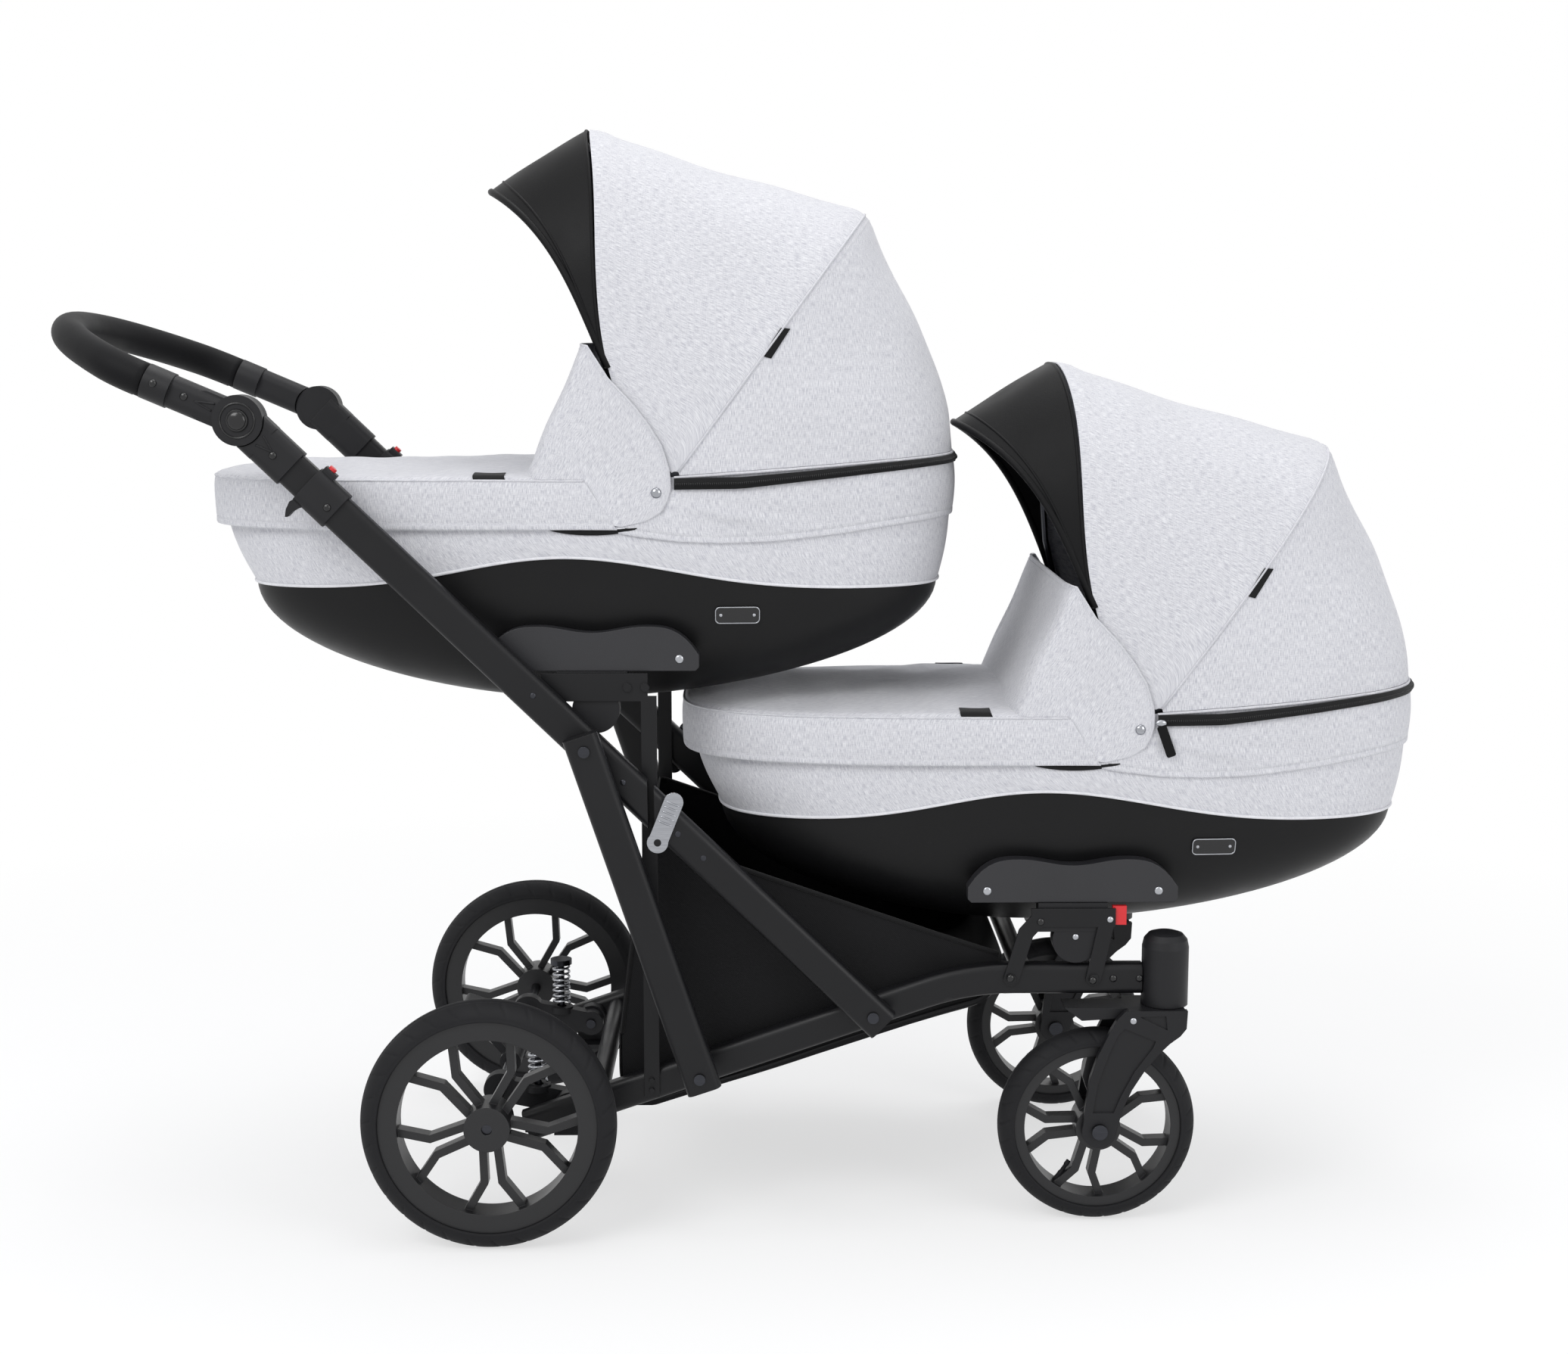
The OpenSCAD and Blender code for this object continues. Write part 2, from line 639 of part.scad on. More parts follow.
module leg_pins() {
    color("#3a3b3e") for (s = sides) {
        bolt(hinge_at, s, y_arm_in - head_t, y_leg_out, pin_d / 2);
        difference() {
            cross_pin(hinge_at, s, y_arm_out + air, y_leg_in, pin_d / 2 + 8);
            cross_pin(hinge_at, s, y_arm_out, y_leg_in + 1, pin_d / 2);
        }
    }
}

// Slanted half space that parts the strut from the handle tube.
module mitre_cut(run, keep_low) {
    size = 3 * arm_h;
    at = on_strut(run);
    translate([at[0], 0, at[1]]) rotate([0, -strut_dir, 0]) rotate([0, -45, 0])
        translate([keep_low ? 0 : -size, -2 * y_leg_out, -size]) cube([size, 4 * y_leg_out, 2 * size]);
}

module struts() {
    start = on_strut(-arm_over);
    pin_at = on_strut(latch_pin[0], latch_pin[1]);
    color("#1c1d1f") for (s = sides) difference() {
        union() {
            difference() {
                hollow_bar(start, strut_dir, latch_run + arm_over + 2 * mitre, s * y_arm);
                mitre_cut(latch_run - latch_gap / 2, true);
            }
            plate(s, y_arm_out - 3, y_arm_out)
                strip_2d(on_strut(latch_pin[0] - 4, 6 - arm_h / 2), pin_at, 15);
            cross_pin(pin_at, s, y_arm_out - 1, y_leg_in - 1.2, 4);
        }
        cross_pin(strut_foot, s, y_arm_in - 1, y_arm_out + 1, pin_d / 2 + run_fit);
    }
}

latch_t = 2.6;
module latches() {
    pin_at = on_strut(latch_pin[0], latch_pin[1]);
    top_at = on_strut(latch_pin[0] + 19, arm_h / 2 + 3.4);
    color("#d5d7da") for (s = sides) difference() {
        union() {
            plate(s, y_arm_out + 0.6, y_arm_out + 0.6 + latch_t) {
                strip_2d(pin_at, top_at, 22);
                translate(pin_at) circle(12);
            }
        }
        cross_pin(pin_at, s, y_arm_out, y_leg_in, 4 + run_fit);
    }
}

// Handle

base_len = 77;
base_end = 34;
module handle_tubes() {
    start = on_strut(latch_run - 2 * mitre);
    color("#1c1d1f") for (s = sides) difference() {
        hollow_bar(start, strut_dir, knob_run - latch_run + 2 * mitre - base_end - 4, s * y_arm);
        mitre_cut(latch_run + latch_gap / 2 + latch_free, false);
        cross_pin(hinge_at, s, y_arm_in - 1, y_arm_out + 1, pin_d / 2 + run_fit);
    }
}

sleeve_t = 3;
sleeve_fit = 0.15;
module sleeve(run, len, s, fit, t) {
    difference() {
        bar(on_strut(run), strut_dir, len, s * y_arm, arm_h + 2 * fit + 2 * t, arm_w + 2 * fit + 2 * t, corner_r + t);
        bar(on_strut(run - 1), strut_dir, len + 2, s * y_arm, arm_h + 2 * fit, arm_w + 2 * fit, corner_r);
    }
}

disc_gap = 0.5;
knob_pin_r = 6;
button_r = 12;
button_pocket = 5;
y_head_out = y_arm_out + 5;
disc_run = 0.8;
module joint_bases() {
    color("#17181a") for (s = sides) {
        difference() {
            union() {
                sleeve(knob_run - base_len, base_len - base_end, s, sleeve_fit, sleeve_t);
                bar(on_strut(knob_run - base_end - 3), strut_dir, base_end - 2, s * y_arm, arm_h + 6, arm_w + 6, corner_r);
                plate(s, y_arm_in, y_arm - disc_gap / 2)
                    flat_2d(on_strut(knob_run - base_end - 1), knob_at, arm_h - 6);
                cross_pin(knob_at, s, y_arm_in, y_arm - disc_gap / 2, knob_r);
            }
            cross_pin(knob_at, s, y_arm - disc_gap / 2, y_arm_out + 10, knob_r + disc_run);
        }
        cross_pin(knob_at, s, y_arm_in + 1, y_head_out - button_pocket - 1.5, knob_pin_r);
    }
}

head_len = 82;
cuff_len = 112;
function on_bar(run) = knob_at + run * [cos(bar_dir), sin(bar_dir)];
module joint_heads() {
    color("#17181a") for (s = sides) difference() {
        union() {
            cross_pin(knob_at, s, y_arm + disc_gap / 2, y_head_out, knob_r);
            plate(s, y_arm + disc_gap / 2, y_arm_out)
                strip_2d(knob_at, on_bar(knob_r + 12), arm_h - 6);
            difference() {
                bar(on_bar(4), bar_dir, head_len - 4, s * y_arm, arm_h - 3, bar_d + 4, 12);
                cross_pin(knob_at, s, y_arm_in - 10, y_arm + disc_gap / 2, knob_r + disc_run);
            }
            translate([on_bar(head_len - 1)[0], s * y_arm, on_bar(head_len - 1)[1]]) rotate([0, -bar_dir, 0])
                rotate([0, 90, 0]) cylinder(d = grip_d + 1, h = cuff_len - head_len);
        }
        translate([on_bar(knob_r + 20)[0], s * y_arm, on_bar(knob_r + 20)[1]]) rotate([0, -bar_dir, 0])
            rotate([0, 90, 0]) cylinder(d = bar_d, h = cuff_len);
        cross_pin(knob_at, s, y_arm_in, y_head_out + 1, knob_pin_r + run_fit);
        cross_pin(knob_at, s, y_head_out - button_pocket, y_head_out + 1, button_r + 0.2);
    }
}

// Handle bar's path: two straight arms, two bends and the cross bar.
bar_sides = 24;
function bar_at(a) = abs(a) >= bar_psi
    ? [bar_straight + bar_bend * cos(a), sign(a) * (y_arm - bar_bend) + bar_bend * sin(a), a]
    : [bar_run - bar_arch + bar_arch * cos(a), bar_arch * sin(a), a];
function bar_line(start) = concat([[start, y_arm, 90]],
    [for (i = [0 : 5]) bar_at(90 - (90 - bar_psi) * i / 5)],
    [for (i = [1 : 15]) bar_at(bar_psi * (1 - i / 8))],
    [for (i = [0 : 5]) bar_at(-bar_psi - (90 - bar_psi) * i / 5)], [[start, -y_arm, -90]]);
function bar_rings(line, r) = [for (q = line) for (t = [0 : bar_sides - 1])
    [q[0] + r * cos(t * 360 / bar_sides) * cos(q[2]), q[1] + r * cos(t * 360 / bar_sides) * sin(q[2]),
     r * sin(t * 360 / bar_sides)]];
function bar_skin(rows, first, flip) = [for (i = [0 : rows - 2]) for (t = [0 : bar_sides - 1])
    let (a = first + i * bar_sides + t, b = first + i * bar_sides + (t + 1) % bar_sides)
    flip ? [a, a + bar_sides, b + bar_sides, b] : [a, b, b + bar_sides, a + bar_sides]];
module bar_path(r, start) {
    line = bar_line(start);
    rows = len(line);
    translate([knob_at[0], 0, knob_at[1]]) rotate([0, -bar_dir, 0])
        polyhedron(points = bar_rings(line, r), faces = concat(bar_skin(rows, 0, false),
            [[for (t = [bar_sides - 1 : -1 : 0]) t]], [[for (t = [0 : bar_sides - 1]) (rows - 1) * bar_sides + t]]));
}
module bar_sleeve(r, inner, start) {
    line = bar_line(start);
    rows = len(line);
    n = rows * bar_sides;
    last = n - bar_sides;
    translate([knob_at[0], 0, knob_at[1]]) rotate([0, -bar_dir, 0])
        polyhedron(points = concat(bar_rings(line, r), bar_rings(line, inner)),
            faces = concat(bar_skin(rows, 0, false), bar_skin(rows, n, true),
                [for (t = [0 : bar_sides - 1]) let (u = (t + 1) % bar_sides) [t, n + t, n + u, u]],
                [for (t = [0 : bar_sides - 1]) let (u = (t + 1) % bar_sides)
                    [last + t, last + u, n + last + u, n + last + t]]));
}
module handle_bar() { color("#2a2b2d") bar_path(bar_d / 2, knob_r + 20); }
module grip_cover() { color("#17171a") bar_sleeve(grip_d / 2, bar_d / 2, cuff_len); }

module joint_button(s) {
    color("#2c2d30") cross_pin(knob_at, s, y_head_out - button_pocket + 2.5, y_head_out + 2, button_r);
}
module joint_button_right() { joint_button(-1); }
module joint_button_left() { joint_button(1); }

slider_len = 44;
slider_top = 101;
slider_fit = 0.4;
slider_red_r = 4.5;
slider_out = arm_h / 2 + slider_fit + sleeve_t;
red_run = knob_run - slider_top - 9;
claw_root = 3;
claw = [[-15, claw_root], [-1, claw_root], [1, -4], [-2, -13], [-7, -20], [-9, -18], [-9, -10], [-11, -3]];
module fold_sliders() {
    color("#17181a") for (s = sides) {
        difference() {
            union() {
                sleeve(knob_run - slider_top - slider_len, slider_len, s, slider_fit, sleeve_t);
                bar(on_strut(red_run - 9, slider_out + 1.6), strut_dir, 16, s * y_arm, 9, 16, 3);
            }
            translate([on_strut(red_run)[0], s * y_arm, on_strut(red_run)[1]]) rotate([0, -strut_dir, 0])
                rotate([180, 0, 0]) translate([0, 0, slider_out - 2.4]) cylinder(r = slider_red_r + 0.2, h = 12);
        }
        plate(s, y_arm - 8, y_arm + 8)
            polygon([for (p = claw) on_strut(knob_run - slider_top + p[0], -slider_out + p[1])]);
    }
}
module slider_buttons() {
    color("#c3202b") for (s = sides)
        translate([on_strut(red_run)[0], s * y_arm, on_strut(red_run)[1]]) rotate([0, -strut_dir, 0])
            rotate([180, 0, 0]) translate([0, 0, slider_out + 0.6]) cylinder(r = slider_red_r, h = 9);
}

// Carrycots

plan_n = 3.4;
plan_count = 44;
shell_power = 0.645;
bottom_foot = 90;
bottom_head = 40;
bottom_half = 95;
function blend_up(t) = pow(1 - pow(1 - t, 2), shell_power);
function signed_pow(v, p) = sign(v) * pow(abs(v), p);

// Outline at a height: how far it reaches to the foot and the head, and its half width.
shell_foot = cot_foot - 38;
shell_head = cot_head - 16;
shell_half = cot_half_w - 5;
function reach(z) = z < shell_h
    ? let (f = blend_up(max(z, 0) / shell_h)) [
        bottom_foot + (shell_foot - bottom_foot) * f,
        bottom_head + (shell_head - bottom_head) * f,
        bottom_half + (shell_half - bottom_half) * f]
    : let (f = sin(90 * min(1, (z - shell_h) / (cot_rim - shell_h)))) [
        shell_foot + (cot_foot - shell_foot) * f,
        shell_head + (cot_head - shell_head) * f,
        shell_half + (cot_half_w - shell_half) * f];
function plan_point(a, z, out) = let (r = reach(z), mid = (r[1] - r[0]) / 2, half = (r[1] + r[0]) / 2 + out)
    [mid + half * signed_pow(cos(a), 2 / plan_n), (r[2] + out) * signed_pow(sin(a), 2 / plan_n), z];
function plan_ring(z, out) = [for (i = [0:plan_count - 1]) plan_point(360 * i / plan_count, z, out)];
function plan_half_width(x, z, out) = let (r = reach(z), mid = (r[1] - r[0]) / 2, half = (r[1] + r[0]) / 2 + out)
    (r[2] + out) * pow(max(0, 1 - pow(abs((x - mid) / half), plan_n)), 1 / plan_n);

// The rim climbs towards the head under the hood's zip.
rim_climb = 4;
rim_step = 7;
function rim_up(x) = rim_step * min(1, max(0, (x - 30) / 60)) + max(0, x - 96) * tan(rim_climb);
function rim_ring(share, out) = [for (p = plan_ring(shell_h + (cot_rim - shell_h) * share, out))
    [p[0], p[1], p[2] + share * rim_up(p[0])]];
tub_levels = [0, 0.05, 0.14, 0.28, 0.45, 0.65, 0.85];
well_levels = [0.75, 0.5, 0.3, 0.14, 0.05];
tub_floor = 8;
module tub() {
    outer = concat([for (t = tub_levels) plan_ring(shell_h * t, 0)],
        [for (share = [0, 0.5, 1]) rim_ring(share, 0)]);
    inner = [for (share = [1, 0.5, 0]) rim_ring(share, -shell_wall)];
    deep = [for (t = well_levels)
        [for (p = plan_ring(shell_h * t, -shell_wall)) [p[0], p[1], max(p[2], tub_floor)]]];
    color("#131314") loft(concat(outer, inner, deep));
}

function wave_z(x) = shell_h + shell_wave * exp(-pow((x + 25) / 165, 2));
skin_gap = 0.3;
module side_fabric() {
    color("#d2d2d5") band([for (i = [0:plan_count - 1])
        let (a = 360 * i / plan_count, z0 = wave_z(plan_point(a, shell_h, 0)[0]), zm = (z0 + cot_rim) / 2,
            up = [0, 0, rim_up(plan_point(a, cot_rim, 0)[0])])
        [plan_point(a, z0, skin_gap), plan_point(a, zm, skin_gap), plan_point(a, cot_rim, skin_gap) + up,
            plan_point(a, cot_rim, skin_gap + cloth) + up, plan_point(a, zm, skin_gap + cloth + 1.5),
            plan_point(a, z0, skin_gap + cloth)]]);
}

mattress_gap = 3;
module mattress() {
    low = tub_floor + air;
    top = low + mattress_t;
    out = -shell_wall - mattress_gap;
    z_mid = shell_h * well_levels[3];
    z_wide = shell_h * well_levels[2];
    // The pad follows the straight run of the well's wall between two of its levels.
    function pad(z, in) = let (f = min(1, max(0, (z - z_mid) / (z_wide - z_mid))),
        a = plan_ring(z_mid, out - in), b = plan_ring(z_wide, out - in))
        [for (i = [0:plan_count - 1]) [for (k = [0, 1]) a[i][k] + (b[i][k] - a[i][k]) * f]];
    function lay(ring, z) = [for (p = ring) [p[0], p[1], z]];
    color("#e6e6e6") loft([lay(plan_ring(shell_h * well_levels[4], out), low), lay(pad(z_mid, 0), z_mid),
        lay(pad(top - 8, 0), top - 8), lay(pad(top - 8, 8), top - 1), lay(pad(top - 8, 26), top + 5),
        lay(pad(top - 8, 60), top + 9)]);
}

apron_skirt = 210;
apron_end = -8;
apron_crown = 14;
apron_over = 4.6;
apron_out = skin_gap + cloth + 3;
apron_steps = [2, 8, 22, 46, 64, 84, 110, 140, 174, 210, 250, 290, 370];
apron_ys = [-1, -1, -0.985, -0.93, -0.8, -0.55, -0.25, 0, 0.25, 0.55, 0.8, 0.93, 0.985, 1, 1];
apron_last = len(apron_ys) - 1;
// Height over the rim by the share of the half width: the hem, the rounded edge, then the crown.
function apron_z(j, w, drop) = let (f = abs(apron_ys[j]))
    j == 0 || j == apron_last ? apron_skirt
    : cot_rim + apron_over - drop + apron_crown * (1 - pow(f, 2.2)) * min(1, w / cot_half_w) - (f == 1 ? 9 : 0);
function apron_row(x, out, drop) = let (w = plan_half_width(x, cot_rim, out))
    [for (j = [0:apron_last]) [x, w * apron_ys[j], apron_z(j, w, drop)]];
function apron_hem(x, at, out) = let (w = 0.8 * plan_half_width(at, cot_rim, out))
    [for (j = [0:apron_last]) [x, w * (2 * j / apron_last - 1), apron_skirt]];
module apron() {
    tip = -cot_foot - apron_out - cloth;
    steps = [for (d = apron_steps) tip + d];
    rest = concat([for (i = [1:len(steps) - 1]) steps[i]], [apron_end]);
    outer = concat([apron_hem(tip, steps[0], apron_out + cloth), apron_row(steps[0], apron_out + cloth, 0)],
        [for (x = rest) apron_row(x, apron_out + cloth, 0)]);
    inner = concat([apron_hem(tip + cloth, steps[0] + cloth, apron_out), apron_row(steps[0] + cloth, apron_out, cloth)],
        [for (x = rest) apron_row(x, apron_out, cloth)]);
    color("#d2d2d5") sheet(outer, inner);
    color("#d2d2d5") wind_flap();
}

// Wind flap: a folded panel that stands up from the apron in front of the hood's opening.
flap_low = cot_rim - 16;
flap_front_low = -66;
flap_front_top = -14;
flap_back = 84;
flap_top = 150;
flap_corner = 40;
flap_out = apron_out + cloth - 0.8;
flap_rows = 5;
function flap_top_z(x) = let (t = (x - flap_front_top) / (flap_back - flap_front_top))
    flap_low + 14 + flap_top * pow(max(0, 1 - pow(max(t, 0), 1.15)), 0.9);
function flap_line(front, out) = let (w = cot_half_w + out, c = flap_corner)
    concat([for (x = [flap_back, flap_back - 34, flap_back - 62, front + c]) [x, -w]],
        [for (a = [30, 60, 90]) [front + c - c * sin(a), -w + c - c * cos(a)]],
        [for (y = [-0.45, 0, 0.45]) [front, y * w]],
        [for (a = [90, 60, 30]) [front + c - c * sin(a), w - c + c * cos(a)]],
        [for (x = [front + c, flap_back - 62, flap_back - 34, flap_back]) [x, w]]);
function flap_row(t, out) = let (front = flap_front_low + (flap_front_top - flap_front_low) * t - out, line = flap_line(front, out))
    [for (p = line) let (low = abs(p[1]) < cot_half_w + flap_out - 2 ? cot_rim + apron_crown + 6 : flap_low)
        [p[0], p[1], low + (flap_top_z(p[0]) - low) * t]];
module wind_flap() {
    rows = [for (k = [0:flap_rows - 1]) k / (flap_rows - 1)];
    sheet([for (t = rows) flap_row(t, flap_out + cloth)], [for (t = rows) flap_row(t, flap_out)]);
}

// Hood: ribs fan out about the pivot line.
pivot = [96, cot_rim + 8];
hood_n = 2.8;
hood_half = cot_half_w + 1;
front_sweep = 41;
arch_count = 19;
hood_start_r = 20;
function arch_angle(k, h0) = let (a0 = asin(pow(h0, hood_n / 2))) a0 + (180 - 2 * a0) * k / (arch_count - 1);
function rib_point(a, deg, sweep, r, half) = let (h = pow(sin(a), 2 / hood_n), d = deg + sweep * pow(1 - h, 2))
    [pivot[0] + r * h * cos(d), -half * signed_pow(cos(a), 2 / hood_n), pivot[1] + r * h * sin(d)];
function rib(deg, sweep, r, half, h0) = [for (k = [0:arch_count - 1]) rib_point(arch_angle(k, h0), deg, sweep, r, half)];
function polar(r, deg) = r * [cos(deg), sin(deg)];
// Distance from the pivot to the line through p and q, seen along a direction.
function chord(p, q, deg) = let (d = [cos(deg), sin(deg)], e = q - p)
    (p[0] * e[1] - p[1] * e[0]) / (d[0] * e[1] - d[1] * e[0]);

rim_deg = rim_climb;
hood_back = [cot_head - pivot[0] + 2, 10];
function front_chord(deg) = chord(polar(hood_front_r, front_bow_deg), polar(hood_mid_r, mid_bow_deg), deg);
function rear_chord(deg) = chord(polar(hood_mid_r, mid_bow_deg), hood_back, deg);
seam_gap = 0.35;

module hood_rear() {
    degs = [for (k = [0:6]) mid_bow_deg - seam_gap - (mid_bow_deg - seam_gap - rim_deg) * k / 6];
    h0 = hood_start_r / hood_mid_r;
    color("#d2d2d5") sheet([for (d = degs) rib(d, 0, rear_chord(d), hood_half, h0)],
        [for (d = degs) rib(d, 0, rear_chord(d) - cloth, hood_half - cloth, h0)]);
}
module hood_front() {
    first = front_bow_deg - seam_gap;
    degs = [for (k = [0:6]) first + (mid_bow_deg + seam_gap - first) * k / 6];
    h0 = hood_start_r / hood_mid_r;
    function sweep(d) = front_sweep * pow((d - mid_bow_deg) / (front_bow_deg - mid_bow_deg), 2);
    color("#d2d2d5") sheet([for (d = degs) rib(d, sweep(d), front_chord(d), hood_half, h0)],
        [for (d = degs) rib(d, sweep(d), front_chord(d) - cloth, hood_half - cloth, h0)]);
}

visor_start = 0.36;
visor_t = 4;
visor_rise = -16;
function visor_rib(t, out) = [for (k = [0:arch_count - 1])
    let (a = arch_angle(k, visor_start), h = pow(sin(a), 2 / hood_n),
        more = visor_deg * pow(max(0, (h - visor_start + 0.03) / (1 - visor_start + 0.03)), 1.1) * t)
    rib_point(a, front_bow_deg + 0.5 + more, front_sweep, hood_front_r + visor_rise * t - out, hood_half - out)];
module visor() {
    rows = [1, 0.75, 0.5, 0.25, 0];
    color("#111112") sheet([for (t = rows) visor_rib(t, 0)], [for (t = rows) visor_rib(t, visor_t)]);
}

bow_r = 4;
bow_in = cloth + 1 + bow_r;
front_bow_in = visor_t + 1.7 + bow_r;
y_mid_disc = cot_half_w - shell_wall - 8;
bow_disc_t = 4;
bow_gap = 2.6;
y_front_disc = y_mid_disc - bow_disc_t - bow_gap;
bow_disc_r = 14;
hinge_pin_r = 4;
bow_start = 11;
function across(deg) = [-sin(deg), 0, cos(deg)];
function bow_path(deg, sweep, r, half, in) = rib(deg, sweep, r - in, half, bow_start / r);
module mid_bow() {
    color("#3a3b3e") {
        tube_along(bow_path(mid_bow_deg, 0, hood_mid_r, y_mid_disc + bow_disc_t / 2, bow_in), bow_r, 8, across(mid_bow_deg));
        for (s = sides) {
            cross_pin(pivot, s, y_mid_disc, y_mid_disc + bow_disc_t, bow_disc_r);
            cross_pin(pivot, s, y_front_disc - 3, y_mid_disc + 1, hinge_pin_r);
        }
    }
}
module front_bow() {
    color("#3a3b3e") {
        tube_along(bow_path(front_bow_deg + 1.5, front_sweep, hood_front_r, y_front_disc + bow_disc_t / 2, front_bow_in),
            bow_r, 8, across(front_bow_deg + front_sweep / 2));
        for (s = sides) difference() {
            cross_pin(pivot, s, y_front_disc, y_front_disc + bow_disc_t, bow_disc_r);
            cross_pin(pivot, s, y_front_disc - 4, y_front_disc + bow_disc_t + 1, hinge_pin_r + run_fit);
        }
    }
}

// Side plates with the sockets that drop over the carrier's tongues.
mount_steps = 16;
mount_seat = 1.3;
y_mount_in = reach(mount_low + mount_h)[2] - mount_seat;
function mount_top(f) = mount_low + mount_h - (f < 0.5
    ? mount_dip * (1 + cos(360 * f)) / 2
    : (mount_h - mount_end) * pow(2 * f - 1, 3));
socket_fit = 0.5;
module mount_plates() {
    color("#19191b") for (s = sides) difference() {
        plate(s, y_mount_in, y_low_out - 3) polygon(concat(
            [[mount_half - 4, mount_low], [mount_half, mount_low + 4]],
            [for (k = [mount_steps:-1:-mount_steps]) [mount_half * k / mount_steps, mount_top(abs(k) / mount_steps)]],
            [[-mount_half, mount_low + 4], [4 - mount_half, mount_low]]));
        translate([-tongue[0] - socket_fit, s * tongue_y - tongue[1] / 2 - socket_fit, mount_low - 1])
            cube([2 * (tongue[0] + socket_fit), tongue[1] + 2 * socket_fit, tongue[2] + 2]);
    }
}

module at_upper() { translate([upper_x, 0, upper_z]) children(); }
module at_lower() { translate([lower_x, 0, lower_z]) children(); }
module upper_tub() { at_upper() tub(); }
module upper_side_fabric() { at_upper() side_fabric(); }
module upper_mattress() { at_upper() mattress(); }
module upper_apron() { at_upper() apron(); }
module upper_hood_rear() { at_upper() hood_rear(); }
module upper_hood_front() { at_upper() hood_front(); }
module upper_mid_bow() { at_upper() mid_bow(); }
module upper_mount_plates() { at_upper() mount_plates(); }
module upper_front_bow() { at_upper() front_bow(); }
module upper_visor() { at_upper() visor(); }
module lower_tub() { at_lower() tub(); }
module lower_side_fabric() { at_lower() side_fabric(); }
module lower_mattress() { at_lower() mattress(); }
module lower_apron() { at_lower() apron(); }
module lower_hood_rear() { at_lower() hood_rear(); }
module lower_hood_front() { at_lower() hood_front(); }
module lower_mid_bow() { at_lower() mid_bow(); }
module lower_mount_plates() { at_lower() mount_plates(); }
module lower_front_bow() { at_lower() front_bow(); }
module lower_visor() { at_lower() visor(); }

lower_tubes();
cross_tubes();
swivel_housings();
suspension_brackets();
spring_rods();
frame_bolts();
lower_carriers();
upper_carriers();
adapters();
basket();
rear_arms();
rear_axle();
springs();
brake_pedal();
rear_rim_right();
rear_tyre_right();
rear_rim_left();
rear_tyre_left();
fork_right();
front_axle_right();
front_rim_right();
front_tyre_right();
fork_left();
front_axle_left();
front_rim_left();
front_tyre_left();
rear_legs();
leg_pins();
struts();
latches();
handle_tubes();
joint_bases();
handle_bar();
grip_cover();
joint_heads();
joint_button_right();
joint_button_left();
fold_sliders();
slider_buttons();
upper_tub();
upper_side_fabric();
upper_mattress();
upper_apron();
upper_hood_rear();
upper_hood_front();
upper_mid_bow();
upper_mount_plates();
upper_front_bow();
upper_visor();
lower_tub();
lower_side_fabric();
lower_mattress();
lower_apron();
lower_hood_rear();
lower_hood_front();
lower_mid_bow();
lower_mount_plates();
lower_front_bow();
lower_visor();
release_tabs();
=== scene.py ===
"""Looks of a folding twin pram with two hooded carrycots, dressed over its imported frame.

Lengths are millimetres until a mesh is made, and metres after that. A carrycot's own frame has x to its head end
and z up from its shell's bottom; placed() moves its points to the frame that all tools share.
"""

import math

import bmesh
import bpy
import numpy as np
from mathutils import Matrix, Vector
from mathutils.bvhtree import BVHTree


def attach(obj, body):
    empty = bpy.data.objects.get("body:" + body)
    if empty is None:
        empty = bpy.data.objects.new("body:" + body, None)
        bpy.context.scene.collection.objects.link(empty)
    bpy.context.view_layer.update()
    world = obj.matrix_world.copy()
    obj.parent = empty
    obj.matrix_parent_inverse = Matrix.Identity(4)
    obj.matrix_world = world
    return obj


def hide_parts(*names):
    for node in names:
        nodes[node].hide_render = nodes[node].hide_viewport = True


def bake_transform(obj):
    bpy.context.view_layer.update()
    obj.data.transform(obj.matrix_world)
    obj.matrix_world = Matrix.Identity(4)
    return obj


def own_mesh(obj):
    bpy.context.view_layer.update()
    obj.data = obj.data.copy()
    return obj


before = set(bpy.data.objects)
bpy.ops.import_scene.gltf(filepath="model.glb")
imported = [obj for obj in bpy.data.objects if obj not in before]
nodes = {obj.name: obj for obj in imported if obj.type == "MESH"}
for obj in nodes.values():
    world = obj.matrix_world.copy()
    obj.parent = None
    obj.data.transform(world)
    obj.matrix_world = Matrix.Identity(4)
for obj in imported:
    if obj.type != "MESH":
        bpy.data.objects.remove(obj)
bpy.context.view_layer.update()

MM = 0.001
SIDES = ((-1, "right"), (1, "left"))
COTS = {"upper": (-165.0, 604.0), "lower": (385.0, 334.0)}

# Sizes shared with the part's source
COT_FOOT, COT_HEAD, COT_HALF, COT_RIM = 446.0, 418.0, 196.0, 258.0
SHELL_H, SHELL_WAVE, SHELL_POWER, SHELL_WALL = 137.0, 37.0, 0.645, 6.0
SHELL_FOOT, SHELL_HEAD, SHELL_HALF = COT_FOOT - 38, COT_HEAD - 16, COT_HALF - 5
BOTTOM_FOOT, BOTTOM_HEAD, BOTTOM_HALF = 90.0, 40.0, 95.0
PLAN_N, HOOD_N = 3.4, 2.8
RIM_CLIMB, RIM_STEP = 4.0, 7.0
PIVOT_X, PIVOT_Z = 96.0, COT_RIM + 8
HOOD_FRONT_R, HOOD_MID_R = 408.0, 372.0
FRONT_BOW, MID_BOW, FRONT_SWEEP, VISOR_DEG = 105.0, 53.7, 41.0, 19.0
HOOD_HALF = COT_HALF + 1
HOOD_BACK = (COT_HEAD - PIVOT_X + 2, 10.0)
STRUT_FOOT, STRUT_DIR, KNOB_RUN = (154.0, 253.4), 135.9, 977
BAR_HALF, BAR_SLOPE, BAR_STRAIGHT, BAR_BEND, BAR_ARCH, GRIP_R = 227.0, 23, 118.9, 70.0, 280.0, 19.5
